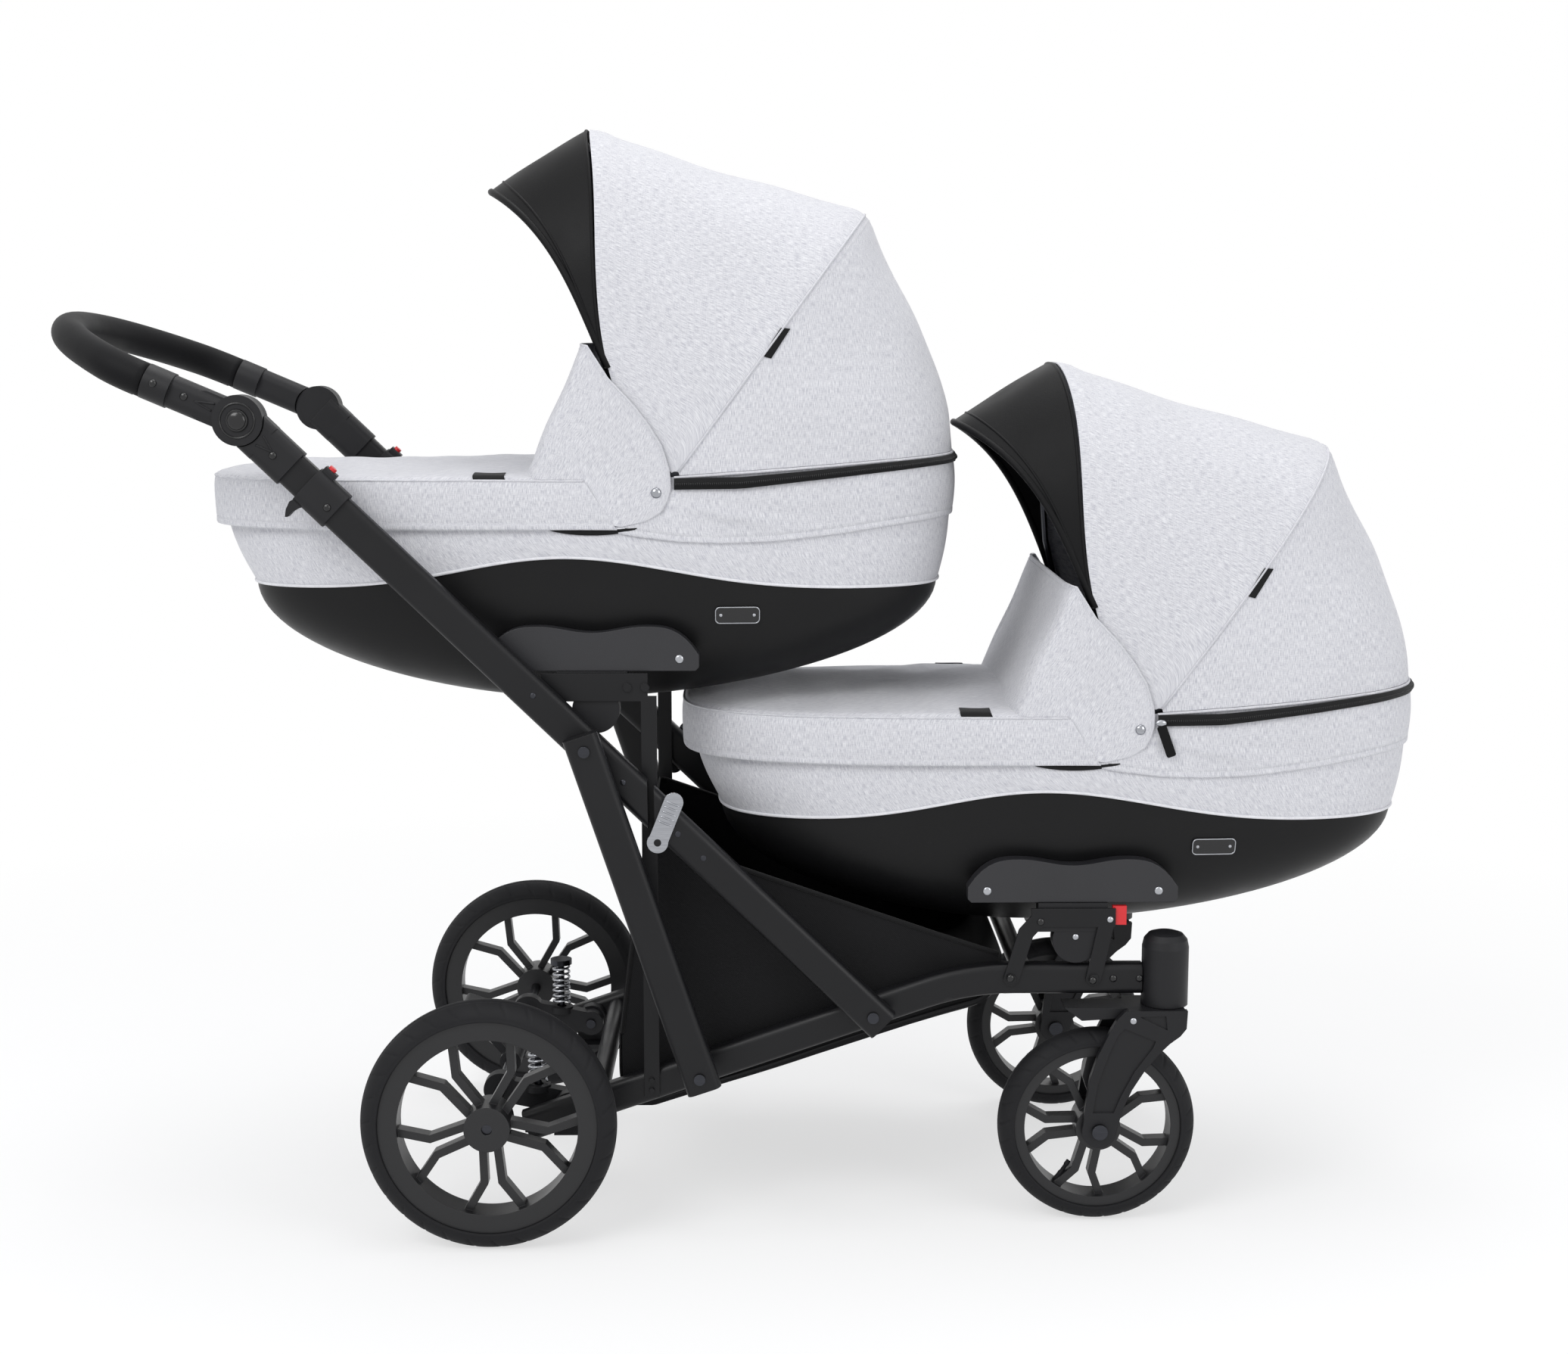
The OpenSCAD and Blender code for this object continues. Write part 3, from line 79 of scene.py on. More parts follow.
SPRING_X, SPRING_Y, SPRING_R, SPRING_LOW, SPRING_HIGH = -238, 159, 10.5, 153.4, 203.6
BASKET_HALF = 181.0
# Each wheel's place (x, half track, radius), and its tyre's width and depth
WHEELS = {"rear": ((-282, 283, 145.0), 44.0, 21.0), "front": ((417, 200, 115.0), 42.0, 18.0)}

# Sizes of the looks alone: the axis that the hood's rear cloth wraps round, and the stitches
HOOD_AXIS = PIVOT_X + 110
STITCH_PITCH, STITCH_SIZE = 4.4, (3.0, 0.9, 0.7)


# Nodes and materials

def linear(code):
    """Linear colour of an sRGB hex value."""
    parts = [int(code[i:i + 2], 16) / 255 for i in (1, 3, 5)]
    return [p / 12.92 if p <= 0.04045 else ((p + 0.055) / 1.055) ** 2.4 for p in parts] + [1.0]


def add(tree, kind, inputs=None, **settings):
    """One node with its settings, and its sockets set to values or linked to other nodes' sockets."""
    made = tree.nodes.new(kind)
    for key, value in settings.items():
        setattr(made, key, value)
    for key, value in (inputs or {}).items():
        if isinstance(value, bpy.types.NodeSocket):
            tree.links.new(value, made.inputs[key])
        else:
            made.inputs[key].default_value = value
    return made


def socket(tree, kind, inputs=None, output=0, **settings):
    """One output of a new node."""
    return add(tree, kind, inputs, **settings).outputs[output]


def noise(tree, vector, scale, detail):
    return socket(tree, "ShaderNodeTexNoise", {"Vector": vector, "Scale": scale, "Detail": detail})


def scaled(tree, vector, scale):
    return socket(tree, "ShaderNodeMapping", {"Vector": vector, "Scale": scale})


def maths(tree, operation, *values):
    return socket(tree, "ShaderNodeMath", dict(enumerate(values)), operation=operation)


def remap(tree, value, low, high, start=0.0, end=1.0):
    """Value from start to end, taken to the range from low to high."""
    return socket(tree, "ShaderNodeMapRange", {"Value": value, "From Min": start, "From Max": end,
                                               "To Min": low, "To Max": high})


def mixed(tree, share, first, second, how="MIX"):
    return socket(tree, "ShaderNodeMix", {"Factor": share, 6: first, 7: second}, 2, data_type="RGBA", blend_type=how)


def bumped(tree, height, strength, depth, **more):
    return socket(tree, "ShaderNodeBump", {"Strength": strength, "Distance": depth, "Height": height, **more})


def soft_edge(tree, radius):
    return socket(tree, "ShaderNodeBevel", {"Radius": radius}, samples=4)


def object_place(tree):
    return socket(tree, "ShaderNodeTexCoord", output="Object")


def finish_material(name, build, **shader):
    """Material whose build function returns the shader's linked sockets; the rest are plain values."""
    made = bpy.data.materials.new(name)
    made.use_nodes = True
    tree = made.node_tree
    tree.nodes.clear()
    linked = build(tree)
    add(tree, "ShaderNodeOutputMaterial", {"Surface": socket(tree, "ShaderNodeBsdfPrincipled", {**shader, **linked})})
    return made


def heather_cloth(name, pale, mid, dark):
    """Melange polyester canvas: pale and grey yarns lie along the weave, so it reads as short fine streaks."""

    def build(tree):
        uv = socket(tree, "ShaderNodeUVMap", uv_map="cloth")
        # Yarns are 0.5 mm; the streaks are drawn 0.8 mm wide and 8 mm long so that they show from a step away.
        warp = noise(tree, scaled(tree, uv, (1250, 125, 1)), 1.0, 2.0)
        weft = noise(tree, scaled(tree, uv, (150, 1250, 1)), 1.0, 2.0)
        both = maths(tree, "MULTIPLY_ADD", warp, 1.45, maths(tree, "MULTIPLY", weft, 0.55))
        ramp = add(tree, "ShaderNodeValToRGB", {"Fac": maths(tree, "MULTIPLY", both, 0.5)})
        points = ramp.color_ramp.elements
        points[0].position, points[0].color = 0.37, linear(dark)
        points[1].position, points[1].color = 0.63, linear(pale)
        points.new(0.50).color = linear(mid)
        cloudy = remap(tree, noise(tree, uv, 9.0, 3.0), 0.94, 1.05)
        # Plain weave, 0.9 mm from rib to rib, with the streaks standing slightly proud.
        weave = socket(tree, "ShaderNodeTexChecker", {"Vector": scaled(tree, uv, (1100, 1100, 1)), "Scale": 1.0}, 1)
        return {"Base Color": mixed(tree, 1.0, ramp.outputs[0], cloudy, "MULTIPLY"),
                "Normal": bumped(tree, maths(tree, "ADD", weave, both), 0.35, 0.0004),
                "Roughness": remap(tree, both, 0.95, 0.78)}

    return finish_material(name, build, **{"Sheen Weight": 0.25, "Sheen Roughness": 0.5, "Specular IOR Level": 0.25})


def grained(name, colour, worn, grain_mm, depth_mm, smooth, rough, gloss=0.5):
    """Solid with an even surface grain: moulded plastic, powder coat, leatherette or rubber by its sizes."""

    def build(tree):
        place = object_place(tree)
        pits = socket(tree, "ShaderNodeTexVoronoi", {"Vector": place, "Scale": 1000 / grain_mm})
        height = maths(tree, "ADD", pits, noise(tree, place, 400 / grain_mm, 3.0))
        smear = noise(tree, place, 14.0, 4.0)
        # Moulded and bent edges are round by about a millimetre.
        return {"Base Color": mixed(tree, smear, linear(colour), linear(worn)),
                "Normal": bumped(tree, height, 0.5, depth_mm * MM, Normal=soft_edge(tree, 0.0012)),
                "Roughness": remap(tree, smear, smooth, rough, 0.3, 0.7)}

    return finish_material(name, build, **{"Specular IOR Level": gloss})


def turned_metal(name, colour, dull, line_mm, smooth, rough):
    """Metal with fine drawing lines round its axis."""

    def build(tree):
        drawn = noise(tree, scaled(tree, object_place(tree), (60, 60, 1000 / line_mm)), 1.0, 3.0)
        return {"Base Color": mixed(tree, drawn, linear(colour), linear(dull)),
                "Normal": bumped(tree, drawn, 0.12, 0.0001, Normal=soft_edge(tree, 0.0006)),
                "Roughness": remap(tree, drawn, smooth, rough)}

    return finish_material(name, build, Metallic=1.0)


def woven_black(name, colour, light, rib_mm):
    """Black woven tape or bag cloth: diagonal ribs that catch a little light."""

    def build(tree):
        place = object_place(tree)
        ribs = socket(tree, "ShaderNodeTexWave", {"Vector": place, "Scale": 2 * math.pi * 50 / rib_mm,
                                                  "Distortion": 1.5, "Detail": 2.0}, 1, bands_direction="DIAGONAL")
        return {"Base Color": mixed(tree, noise(tree, place, 12.0, 4.0), linear(colour), linear(light)),
                "Normal": bumped(tree, ribs, 0.4, 0.0004),
                "Roughness": remap(tree, ribs, 0.62, 0.85)}

    return finish_material(name, build, **{"Sheen Weight": 0.08, "Specular IOR Level": 0.18})


melange_canvas = heather_cloth("melange_canvas", "#dadadd", "#cacace", "#b2b2ba")
piping_cloth = heather_cloth("piping_cloth", "#e6e6e8", "#dcdcdf", "#cdcdd2")
hood_lining = heather_cloth("hood_lining", "#9b9ba0", "#8a8a90", "#707077")
cotton_jersey = heather_cloth("cotton_jersey", "#f1f0ee", "#e8e7e5", "#d8d7d6")
shell_abs = grained("shell_abs", "#0e0e0f", "#131314", 0.9, 0.10, 0.36, 0.50, gloss=0.2)
powder_coat = grained("powder_coat", "#101012", "#161618", 0.5, 0.04, 0.34, 0.46, gloss=0.26)
moulded_nylon = grained("moulded_nylon", "#111113", "#18181b", 0.7, 0.08, 0.42, 0.56, gloss=0.3)
plate_nylon = grained("plate_nylon", "#1a1a1d", "#222226", 0.7, 0.08, 0.40, 0.54, gloss=0.5)
wheel_nylon = grained("wheel_nylon", "#121214", "#18181a", 0.7, 0.07, 0.32, 0.44, gloss=0.45)
foam_tyre = grained("foam_tyre", "#151517", "#1d1d1f", 0.8, 0.12, 0.62, 0.80, gloss=0.22)
leatherette = grained("leatherette", "#0d0d0e", "#121213", 1.3, 0.16, 0.44, 0.56, gloss=0.12)
grip_leatherette = grained("grip_leatherette", "#0f0f10", "#151517", 1.1, 0.16, 0.50, 0.64, gloss=0.12)
red_abs = grained("red_abs", "#c3161f", "#d02a2e", 0.6, 0.04, 0.28, 0.40)
gloss_abs = grained("gloss_abs", "#0c0c0d", "#111113", 0.4, 0.01, 0.12, 0.22)
bright_chrome = turned_metal("bright_chrome", "#b9bbc0", "#84868c", 0.5, 0.06, 0.16)
black_nickel = turned_metal("black_nickel", "#4a4b50", "#2f3034", 0.3, 0.24, 0.40)
spring_steel = turned_metal("spring_steel", "#c4c6ca", "#8f9197", 0.3, 0.20, 0.36)
bag_polyester = woven_black("bag_polyester", "#0b0b0c", "#121214", 1.2)
zip_tape = woven_black("zip_tape", "#0b0b0c", "#121213", 0.8)

CAD_FINISH = {
    powder_coat: ["lower_tubes", "cross_tubes", "rear_legs", "struts", "handle_tubes", "lower_carriers",
                  "upper_carriers"],
    moulded_nylon: ["swivel_housings", "suspension_brackets", "adapters", "rear_arms", "brake_pedal",
                    "fork_right", "fork_left", "joint_bases", "joint_heads", "fold_sliders"],
    plate_nylon: ["upper_mount_plates", "lower_mount_plates"],
    wheel_nylon: ["rear_rim_right", "rear_rim_left", "front_rim_right", "front_rim_left"],
    black_nickel: ["frame_bolts", "leg_pins", "rear_axle", "front_axle_right", "front_axle_left", "handle_bar",
                   "upper_mid_bow", "upper_front_bow", "lower_mid_bow", "lower_front_bow", "spring_rods"],
    bright_chrome: ["latches"],
    gloss_abs: ["joint_button_right", "joint_button_left"],
    red_abs: ["slider_buttons", "release_tabs"],
}
for finish, names in CAD_FINISH.items():
    for each in names:
        mesh = nodes[each].data
        mesh.materials.clear()
        mesh.materials.append(finish)


# Mesh makers

def link(name, data):
    """New object in the scene."""
    made = bpy.data.objects.new(name, data)
    bpy.context.scene.collection.objects.link(made)
    return made


def dress(piece, body, slot, *replaced):
    """Piece that rides on a body, with the nodes that it stands in for; the slot is not used."""
    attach(piece, body)
    if replaced:
        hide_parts(*replaced)
    return piece


def shade_smooth(mesh):
    mesh.polygons.foreach_set("use_smooth", np.ones(len(mesh.polygons), bool))


def set_cloth(mesh, uvs):
    """Cloth coordinates in metres, given by point."""
    corner = np.zeros(len(mesh.loops), np.int32)
    mesh.loops.foreach_get("vertex_index", corner)
    layer = mesh.uv_layers.get("cloth") or mesh.uv_layers.new(name="cloth")
    layer.data.foreach_set("uv", np.asarray(uvs, np.float32)[corner].ravel())


def new_piece(name, verts, faces, materials, face_slots=None, uvs=None, sharp=()):
    """Mesh object in the shared frame from points in millimetres, with optional cloth coordinates by point."""
    mesh = bpy.data.meshes.new(name)
    mesh.from_pydata([tuple(v) for v in np.asarray(verts) * MM], [], [tuple(f) for f in faces])
    for each in materials:
        mesh.materials.append(each)
    if face_slots is not None:
        mesh.polygons.foreach_set("material_index", np.asarray(face_slots, np.int32))
    shade_smooth(mesh)
    if uvs is not None:
        set_cloth(mesh, uvs)
    wanted = {tuple(sorted(e)) for e in sharp}
    for e in mesh.edges if wanted else ():
        if tuple(sorted(e.vertices)) in wanted:
            e.use_edge_sharp = True
    mesh.update()
    return link(name, mesh)


def face_out(piece):
    """The piece with all its faces turned outwards."""
    clean = bmesh.new()
    clean.from_mesh(piece.data)
    bmesh.ops.recalc_face_normals(clean, faces=clean.faces)
    clean.to_mesh(piece.data)
    clean.free()
    return piece


def quads(rows, cols, wrap=True, loop=False):
    """Faces between neighbouring rows of points: wrap closes each row, loop joins the last row to the first."""
    faces = []
    for i in range(rows if loop else rows - 1):
        here, there = i * cols, (i + 1) % rows * cols
        for j in range(cols if wrap else cols - 1):
            k = (j + 1) % cols
            faces.append((here + j, here + k, there + k, there + j))
    return faces


def end_caps(rows, cols):
    """Faces over the first and the last ring."""
    return [tuple(range(cols))[::-1], tuple((rows - 1) * cols + j for j in range(cols))]


def unit(vectors):
    return vectors / np.linalg.norm(vectors, axis=-1, keepdims=True)


def lengths(path):
    """Length run along a path up to each of its points."""
    return np.concatenate([[0], np.cumsum(np.linalg.norm(np.diff(path, axis=0), axis=1))])


def walk(path, at, values=None):
    """Points of a path, or values given at its points, at lengths along it."""
    values = path if values is None else values
    run = lengths(path)
    return np.stack([np.interp(at, run, values[:, k]) for k in range(values.shape[1])], -1)


def grid_normals(grid):
    """Unit normals of a grid of points, on the side of rows crossed with columns."""
    n = np.cross(np.gradient(grid, axis=0), np.gradient(grid, axis=1))
    size = np.linalg.norm(n, axis=2, keepdims=True)
    return n / np.where(size < 1e-9, 1, size)


def raised(grid, height):
    """Grid moved out along its normals, by a height for each point."""
    return grid + grid_normals(grid) * np.asarray(height)[..., None]


def across_run(grid):
    """Length along each row of a grid, from its middle column."""
    run = np.cumsum(np.linalg.norm(np.diff(grid, axis=1), axis=2), 1)
    run = np.concatenate([np.zeros((grid.shape[0], 1)), run], 1)
    return run - run[:, grid.shape[1] // 2:grid.shape[1] // 2 + 1]


def cloth_coordinates(grid, turned=False):
    """Flat coordinates in metres from the lengths along a grid's columns and rows."""
    along = np.cumsum(np.linalg.norm(np.diff(grid, axis=0), axis=2), 0)
    along = np.concatenate([np.zeros((1, grid.shape[1])), along])
    across = across_run(grid)
    return np.stack((along, across) if turned else (across, along), 2) * MM


def cloth_shell(name, outer, thick, materials, turned=False, closed=False, grain=None):
    """Closed sheet of cloth: the outer grid, the same grid set in by its thickness, and the cut edges.

    grain gives the cloth's own coordinates in metres, with its streaks along the second one."""
    m, n = outer.shape[:2]
    s = m * n
    inner = raised(outer, np.full((m, n), -thick))
    uv = (cloth_coordinates(outer, turned) if grain is None else grain).reshape(-1, 2)
    inside = quads(m, n, closed)
    ring = range(n if closed else n - 1)
    edges = [(j, (j + 1) % n) for j in ring] + [(s - n + (j + 1) % n, s - n + j) for j in ring]
    for i in range(0 if closed else m - 1):
        edges += [((i + 1) * n, i * n), (i * n + n - 1, (i + 1) * n + n - 1)]
    faces = [(a, c, d, b) for a, b, d, c in inside] + [tuple(s + v for v in f) for f in inside]
    faces += [(p, q, s + q, s + p) for p, q in edges]
    slots = [0] * len(inside) + [1] * len(inside) + [0] * len(edges)
    return new_piece(name, np.concatenate([outer.reshape(-1, 3), inner.reshape(-1, 3)]), faces, materials, slots,
                     np.concatenate([uv, uv]), edges + [(s + p, s + q) for p, q in edges])


def sheet(name, grid, thick, finish, body, slot, held, rests_on, *replaced, lining=None, closed=False, **shape):
    """Sheet of cloth that rides on a body."""
    piece = cloth_shell(name, grid, thick, [finish, lining or finish], closed=closed, **shape)
    dress(piece, body, slot, *replaced)


def tube(name, path, radius, finish, body, slot, *replaced, sides=10, closed=False):
    """Cord, piping, wire or rolled hem along points in millimetres; radius may change from point to point."""
    path = np.asarray(path, float)
    count = len(path)
    ahead = unit(np.roll(path, -1, 0) - np.roll(path, 1, 0) if closed else np.gradient(path, axis=0))
    side = np.cross(ahead[0], (0, 0, 1.0))
    if np.linalg.norm(side) < 0.2:
        side = np.cross(ahead[0], (1.0, 0, 0))
    turn = np.linspace(0, 2 * np.pi, sides, endpoint=False)[:, None]
    rings = []
    for p, t, r in zip(path, ahead, np.broadcast_to(radius, (count,))):
        side = unit(side - t * (side @ t))
        rings.append(p + r * (np.cos(turn) * side + np.sin(turn) * np.cross(side, t)))
    faces = quads(count, sides, loop=closed) + ([] if closed else end_caps(count, sides))
    uvs = np.stack([np.tile(np.arange(sides) * 2.0, count), np.repeat(np.arange(count) * 4.0, sides)], 1) * MM
    return dress(face_out(new_piece(name, np.concatenate(rings), faces, [finish], uvs=uvs)), body, slot, *replaced)


def scatter_tree():
    """Geometry Nodes tree: one domed head on each point, by its own size, facing the point's normal."""
    tree = bpy.data.node_groups.new("heads_on_points", "GeometryNodeTree")
    tree.is_modifier = True
    face = tree.interface
    face.new_socket("Geometry", in_out="INPUT", socket_type="NodeSocketGeometry")
    for label in ("Length", "Width", "Height"):
        face.new_socket(label, in_out="INPUT", socket_type="NodeSocketFloat")
    face.new_socket("Finish", in_out="INPUT", socket_type="NodeSocketMaterial")
    face.new_socket("Geometry", in_out="OUTPUT", socket_type="NodeSocketGeometry")
    given = add(tree, "NodeGroupInput").outputs
    facing, heading = [socket(tree, "GeometryNodeInputNamedAttribute", {"Name": label}, data_type="FLOAT_VECTOR")
                       for label in ("facing", "heading")]
    upright = socket(tree, "FunctionNodeAlignRotationToVector", {"Vector": facing}, axis="Z")
    turned = socket(tree, "FunctionNodeAlignRotationToVector", {"Rotation": upright, "Vector": heading},
                    axis="X", pivot_axis="Z")
    head = socket(tree, "GeometryNodeMeshUVSphere", {"Segments": 12, "Rings": 8, "Radius": 0.5})
    size = socket(tree, "ShaderNodeCombineXYZ", {0: given[1], 1: given[2], 2: given[3]})
    shaped = socket(tree, "GeometryNodeTransform", {"Geometry": head, "Scale": size})
    smooth = socket(tree, "GeometryNodeSetShadeSmooth", {0: shaped})
    spread = socket(tree, "GeometryNodeInstanceOnPoints", {"Points": given[0], "Instance": smooth,
                                                           "Rotation": turned})
    solid = socket(tree, "GeometryNodeRealizeInstances", {0: spread})
    add(tree, "NodeGroupOutput", {0: socket(tree, "GeometryNodeSetMaterial", {"Geometry": solid,
                                                                              "Material": given[4]})})
    return tree


HEADS = scatter_tree()


def worked_mesh(piece):
    """New mesh of the piece with its modifiers worked in."""
    bpy.context.view_layer.update()
    return bpy.data.meshes.new_from_object(piece.evaluated_get(bpy.context.evaluated_depsgraph_get()))


def heads(name, points, facing, heading, size_mm, finish, body, slot):
    """Rivets, screws or stitches: one head at each point, in millimetres, as a plain mesh."""
    mesh = bpy.data.meshes.new(name + "_points")
    mesh.from_pydata([tuple(p) for p in np.asarray(points, float) * MM], [], [])
    for label, values in (("facing", facing), ("heading", heading)):
        field = mesh.attributes.new(label, "FLOAT_VECTOR", "POINT")
        field.data.foreach_set("vector", np.broadcast_to(np.asarray(values, np.float32), (len(points), 3)).ravel())
    carrier = link(name + "_points", mesh)
    modifier = carrier.modifiers.new("heads", "NODES")
    modifier.node_group = HEADS
    keys = {i.name: i.identifier for i in HEADS.interface.items_tree if i.in_out == "INPUT"}
    for label, value in zip(("Length", "Width", "Height"), size_mm):
        modifier[keys[label]] = value * MM
    modifier[keys["Finish"]] = finish
    plain = worked_mesh(carrier)
    bpy.data.objects.remove(carrier)
    dress(link(name, plain), body, slot)


def even_points(path, pitch):
    """Points at an even pitch along a path, the directions there, and the lengths run up to them."""
    path = np.asarray(path, float)
    at = np.arange(pitch / 2, lengths(path)[-1], pitch)
    return walk(path, at), unit(walk(path, at + 1) - walk(path, at - 1)), at


def sew(name, line, normals, body):
    """Row of stitches along a line that lies on cloth, with the cloth's normals there."""
    points, ahead, at = even_points(line, STITCH_PITCH)
    up = walk(line, at, normals)
    heads(name, points + up * 0.15, up, ahead, STITCH_SIZE, melange_canvas, body, "grey_fabric")


def ripple(points, seed, wave_mm, height_mm):
    """Soft uneven swell of cloth: a sum of a few seeded waves, by place, in millimetres."""
    draw = np.random.default_rng(seed)
    total = np.zeros(points.shape[:-1])
    for _ in range(7):
        direction = unit(draw.normal(size=3))
        length = wave_mm * draw.uniform(0.6, 1.6)
        total += np.sin(points @ direction * (2 * np.pi / length) + draw.uniform(0, 2 * np.pi))
    return height_mm * total / 2.6


# Carrycot forms

def reach(z):
    """Outline at a height: reach to the foot, to the head, and half width."""
    z = np.asarray(z, float)
    low = (1 - (1 - np.clip(z / SHELL_H, 0, 1)) ** 2) ** SHELL_POWER
    high = np.sin(np.pi / 2 * np.clip((z - SHELL_H) / (COT_RIM - SHELL_H), 0, 1))
    return [np.where(z < SHELL_H, bottom + (shell - bottom) * low, shell + (rim - shell) * high)
            for bottom, shell, rim in ((BOTTOM_FOOT, SHELL_FOOT, COT_FOOT), (BOTTOM_HEAD, SHELL_HEAD, COT_HEAD),
                                       (BOTTOM_HALF, SHELL_HALF, COT_HALF))]


def signed_power(v, p):
    return np.sign(v) * np.abs(v) ** p


def plan(angle, z, out):
    """Point of the cot's outline by its angle from the head end, at a height, set out by a distance."""
    foot, head, half = reach(z)
    middle, length = (head - foot) / 2, (head + foot) / 2 + out
    x = middle + length * signed_power(np.cos(angle), 2 / PLAN_N)
    y = (half + out) * signed_power(np.sin(angle), 2 / PLAN_N)
    return np.stack(np.broadcast_arrays(x, y, np.asarray(z, float)), -1)


def plan_at(angle, level, out, z):
    """The outline of one height, moved to another."""
    made = plan(angle, level, out)
    made[:, 2] = z
    return made


def even_angles(count):
    """Angles that share the rim's length evenly."""
    dense = np.linspace(0, 2 * np.pi, 4001)
    run = lengths(plan(dense, COT_RIM, 0.0))
    return np.interp(np.linspace(0, run[-1], count, endpoint=False), run, dense)


def rim_up(x):
    """How far the rim stands above its level: a step near the pivot, then a climb to the head end."""
    return (RIM_STEP * np.clip((x - 30) / 60, 0, 1)
            + np.maximum(0, x - PIVOT_X) * math.tan(math.radians(RIM_CLIMB)))


def wave_z(x):
    """Height of the cloth's lower edge on the shell."""
    return SHELL_H + SHELL_WAVE * np.exp(-((x + 25) / 165) ** 2)


def chord(p, q, deg):
    """Distance from the pivot to the line through p and q, along a direction in degrees."""
    d = np.radians(deg)
    e = (q[0] - p[0], q[1] - p[1])
    return (p[0] * e[1] - p[1] * e[0]) / (np.cos(d) * e[1] - np.sin(d) * e[0])


def polar(r, deg):
    return (r * math.cos(math.radians(deg)), r * math.sin(math.radians(deg)))


def rib(share, deg, sweep, r, half):
    """Hood points by their share of the arch from the right pivot over the top to the left one."""
    lift = np.sin(share) ** (2 / HOOD_N)
    d = np.radians(deg + sweep * (1 - lift) ** 2)
    return np.stack(np.broadcast_arrays(PIVOT_X + r * lift * np.cos(d),
                                        -half * signed_power(np.cos(share), 2 / HOOD_N),
                                        PIVOT_Z + r * lift * np.sin(d)), -1)


def arch_shares(lift, count):
    """Shares of the arch between the places on both sides where it has risen by a part of its height."""
    low = math.asin(lift ** (HOOD_N / 2))
    return np.linspace(low, np.pi - low, count)


def on_strut(run):
    """Place along the strut's line from its foot, seen from the side."""
    x, z = polar(run, STRUT_DIR)
    return STRUT_FOOT[0] + x, STRUT_FOOT[1] + z


KNOB = on_strut(KNOB_RUN)


def placed(points, cot):
    """Points of a carrycot in the shared frame."""
    x, z = COTS[cot]
    return np.asarray(points, float) + (x, 0, z)


def make_shell(cot):
    """Moulded tub with its cloth lining."""
    angles = even_angles(180)
    levels = np.concatenate([[0.0], SHELL_H * np.linspace(0.06, 1, 26) ** 1.6,
                             np.linspace(SHELL_H + 6, COT_RIM, 14)])
    outer = np.stack([plan(angles, z, 0.0) for z in levels])
    outer[..., 2] += rim_up(outer[..., 0]) * np.clip((levels - SHELL_H) / (COT_RIM - SHELL_H), 0, 1)[:, None]
    inner = np.stack([plan(angles, z, -SHELL_WALL) for z in levels])
    inner[..., 2] = np.maximum(outer[..., 2], 8.0)
    rings = np.concatenate([outer, inner[::-1]])
    m, n = rings.shape[:2]
    faces = quads(m, n)
    slots = [int(i >= len(levels) * n) for i in range(len(faces))]
    for j in range(n):
        k = (j + 1) % n
        faces += [(m * n, k, j), (m * n + 1, (m - 1) * n + j, (m - 1) * n + k)]
        slots += [0, 1]
    verts = np.concatenate([rings.reshape(-1, 3), [rings[0].mean(0)], [rings[-1].mean(0)]])
    uvs = np.concatenate([cloth_coordinates(rings).reshape(-1, 2), [[0, 0], [0, 0]]])
    piece = new_piece(cot + "_shell", placed(verts, cot), faces, [shell_abs, cotton_jersey], slots, uvs)
    dress(piece, cot + "_cot", "black_plastic", cot + "_tub")


def seam_height(x):
    """Height of the seam round the wall: level under the apron, then a slack dip that climbs to the head end."""
    return np.interp(x, [-500, 0, 25, 48, 97, 143, 204, 276, 348, 400, 420],
                     [207, 206, 204, 199, 192.5, 190.5, 192.6, 200, 209.5, 215, 216])


def slack_folds(x, z):
    """Folds that run down and back from the corner where the hood's zip ends."""
    total = np.zeros_like(x)
    for x0, z0, slope, length, wide, high in ((92, 246, -0.42, 120, 7, 2.6), (98, 232, -0.30, 90, 6, 2.0),
                                               (120, 252, -0.20, 150, 9, 1.8), (230, 240, -0.05, 120, 9, 1.1)):
        run = (x - x0) / length
        off = z - (z0 + slope * (x - x0) + 14 * run * run)
        total += high * np.exp(-(off / wide) ** 2) * np.clip(run * 6, 0, 1) * np.clip((1.15 - run) * 2, 0, 1)
    return total


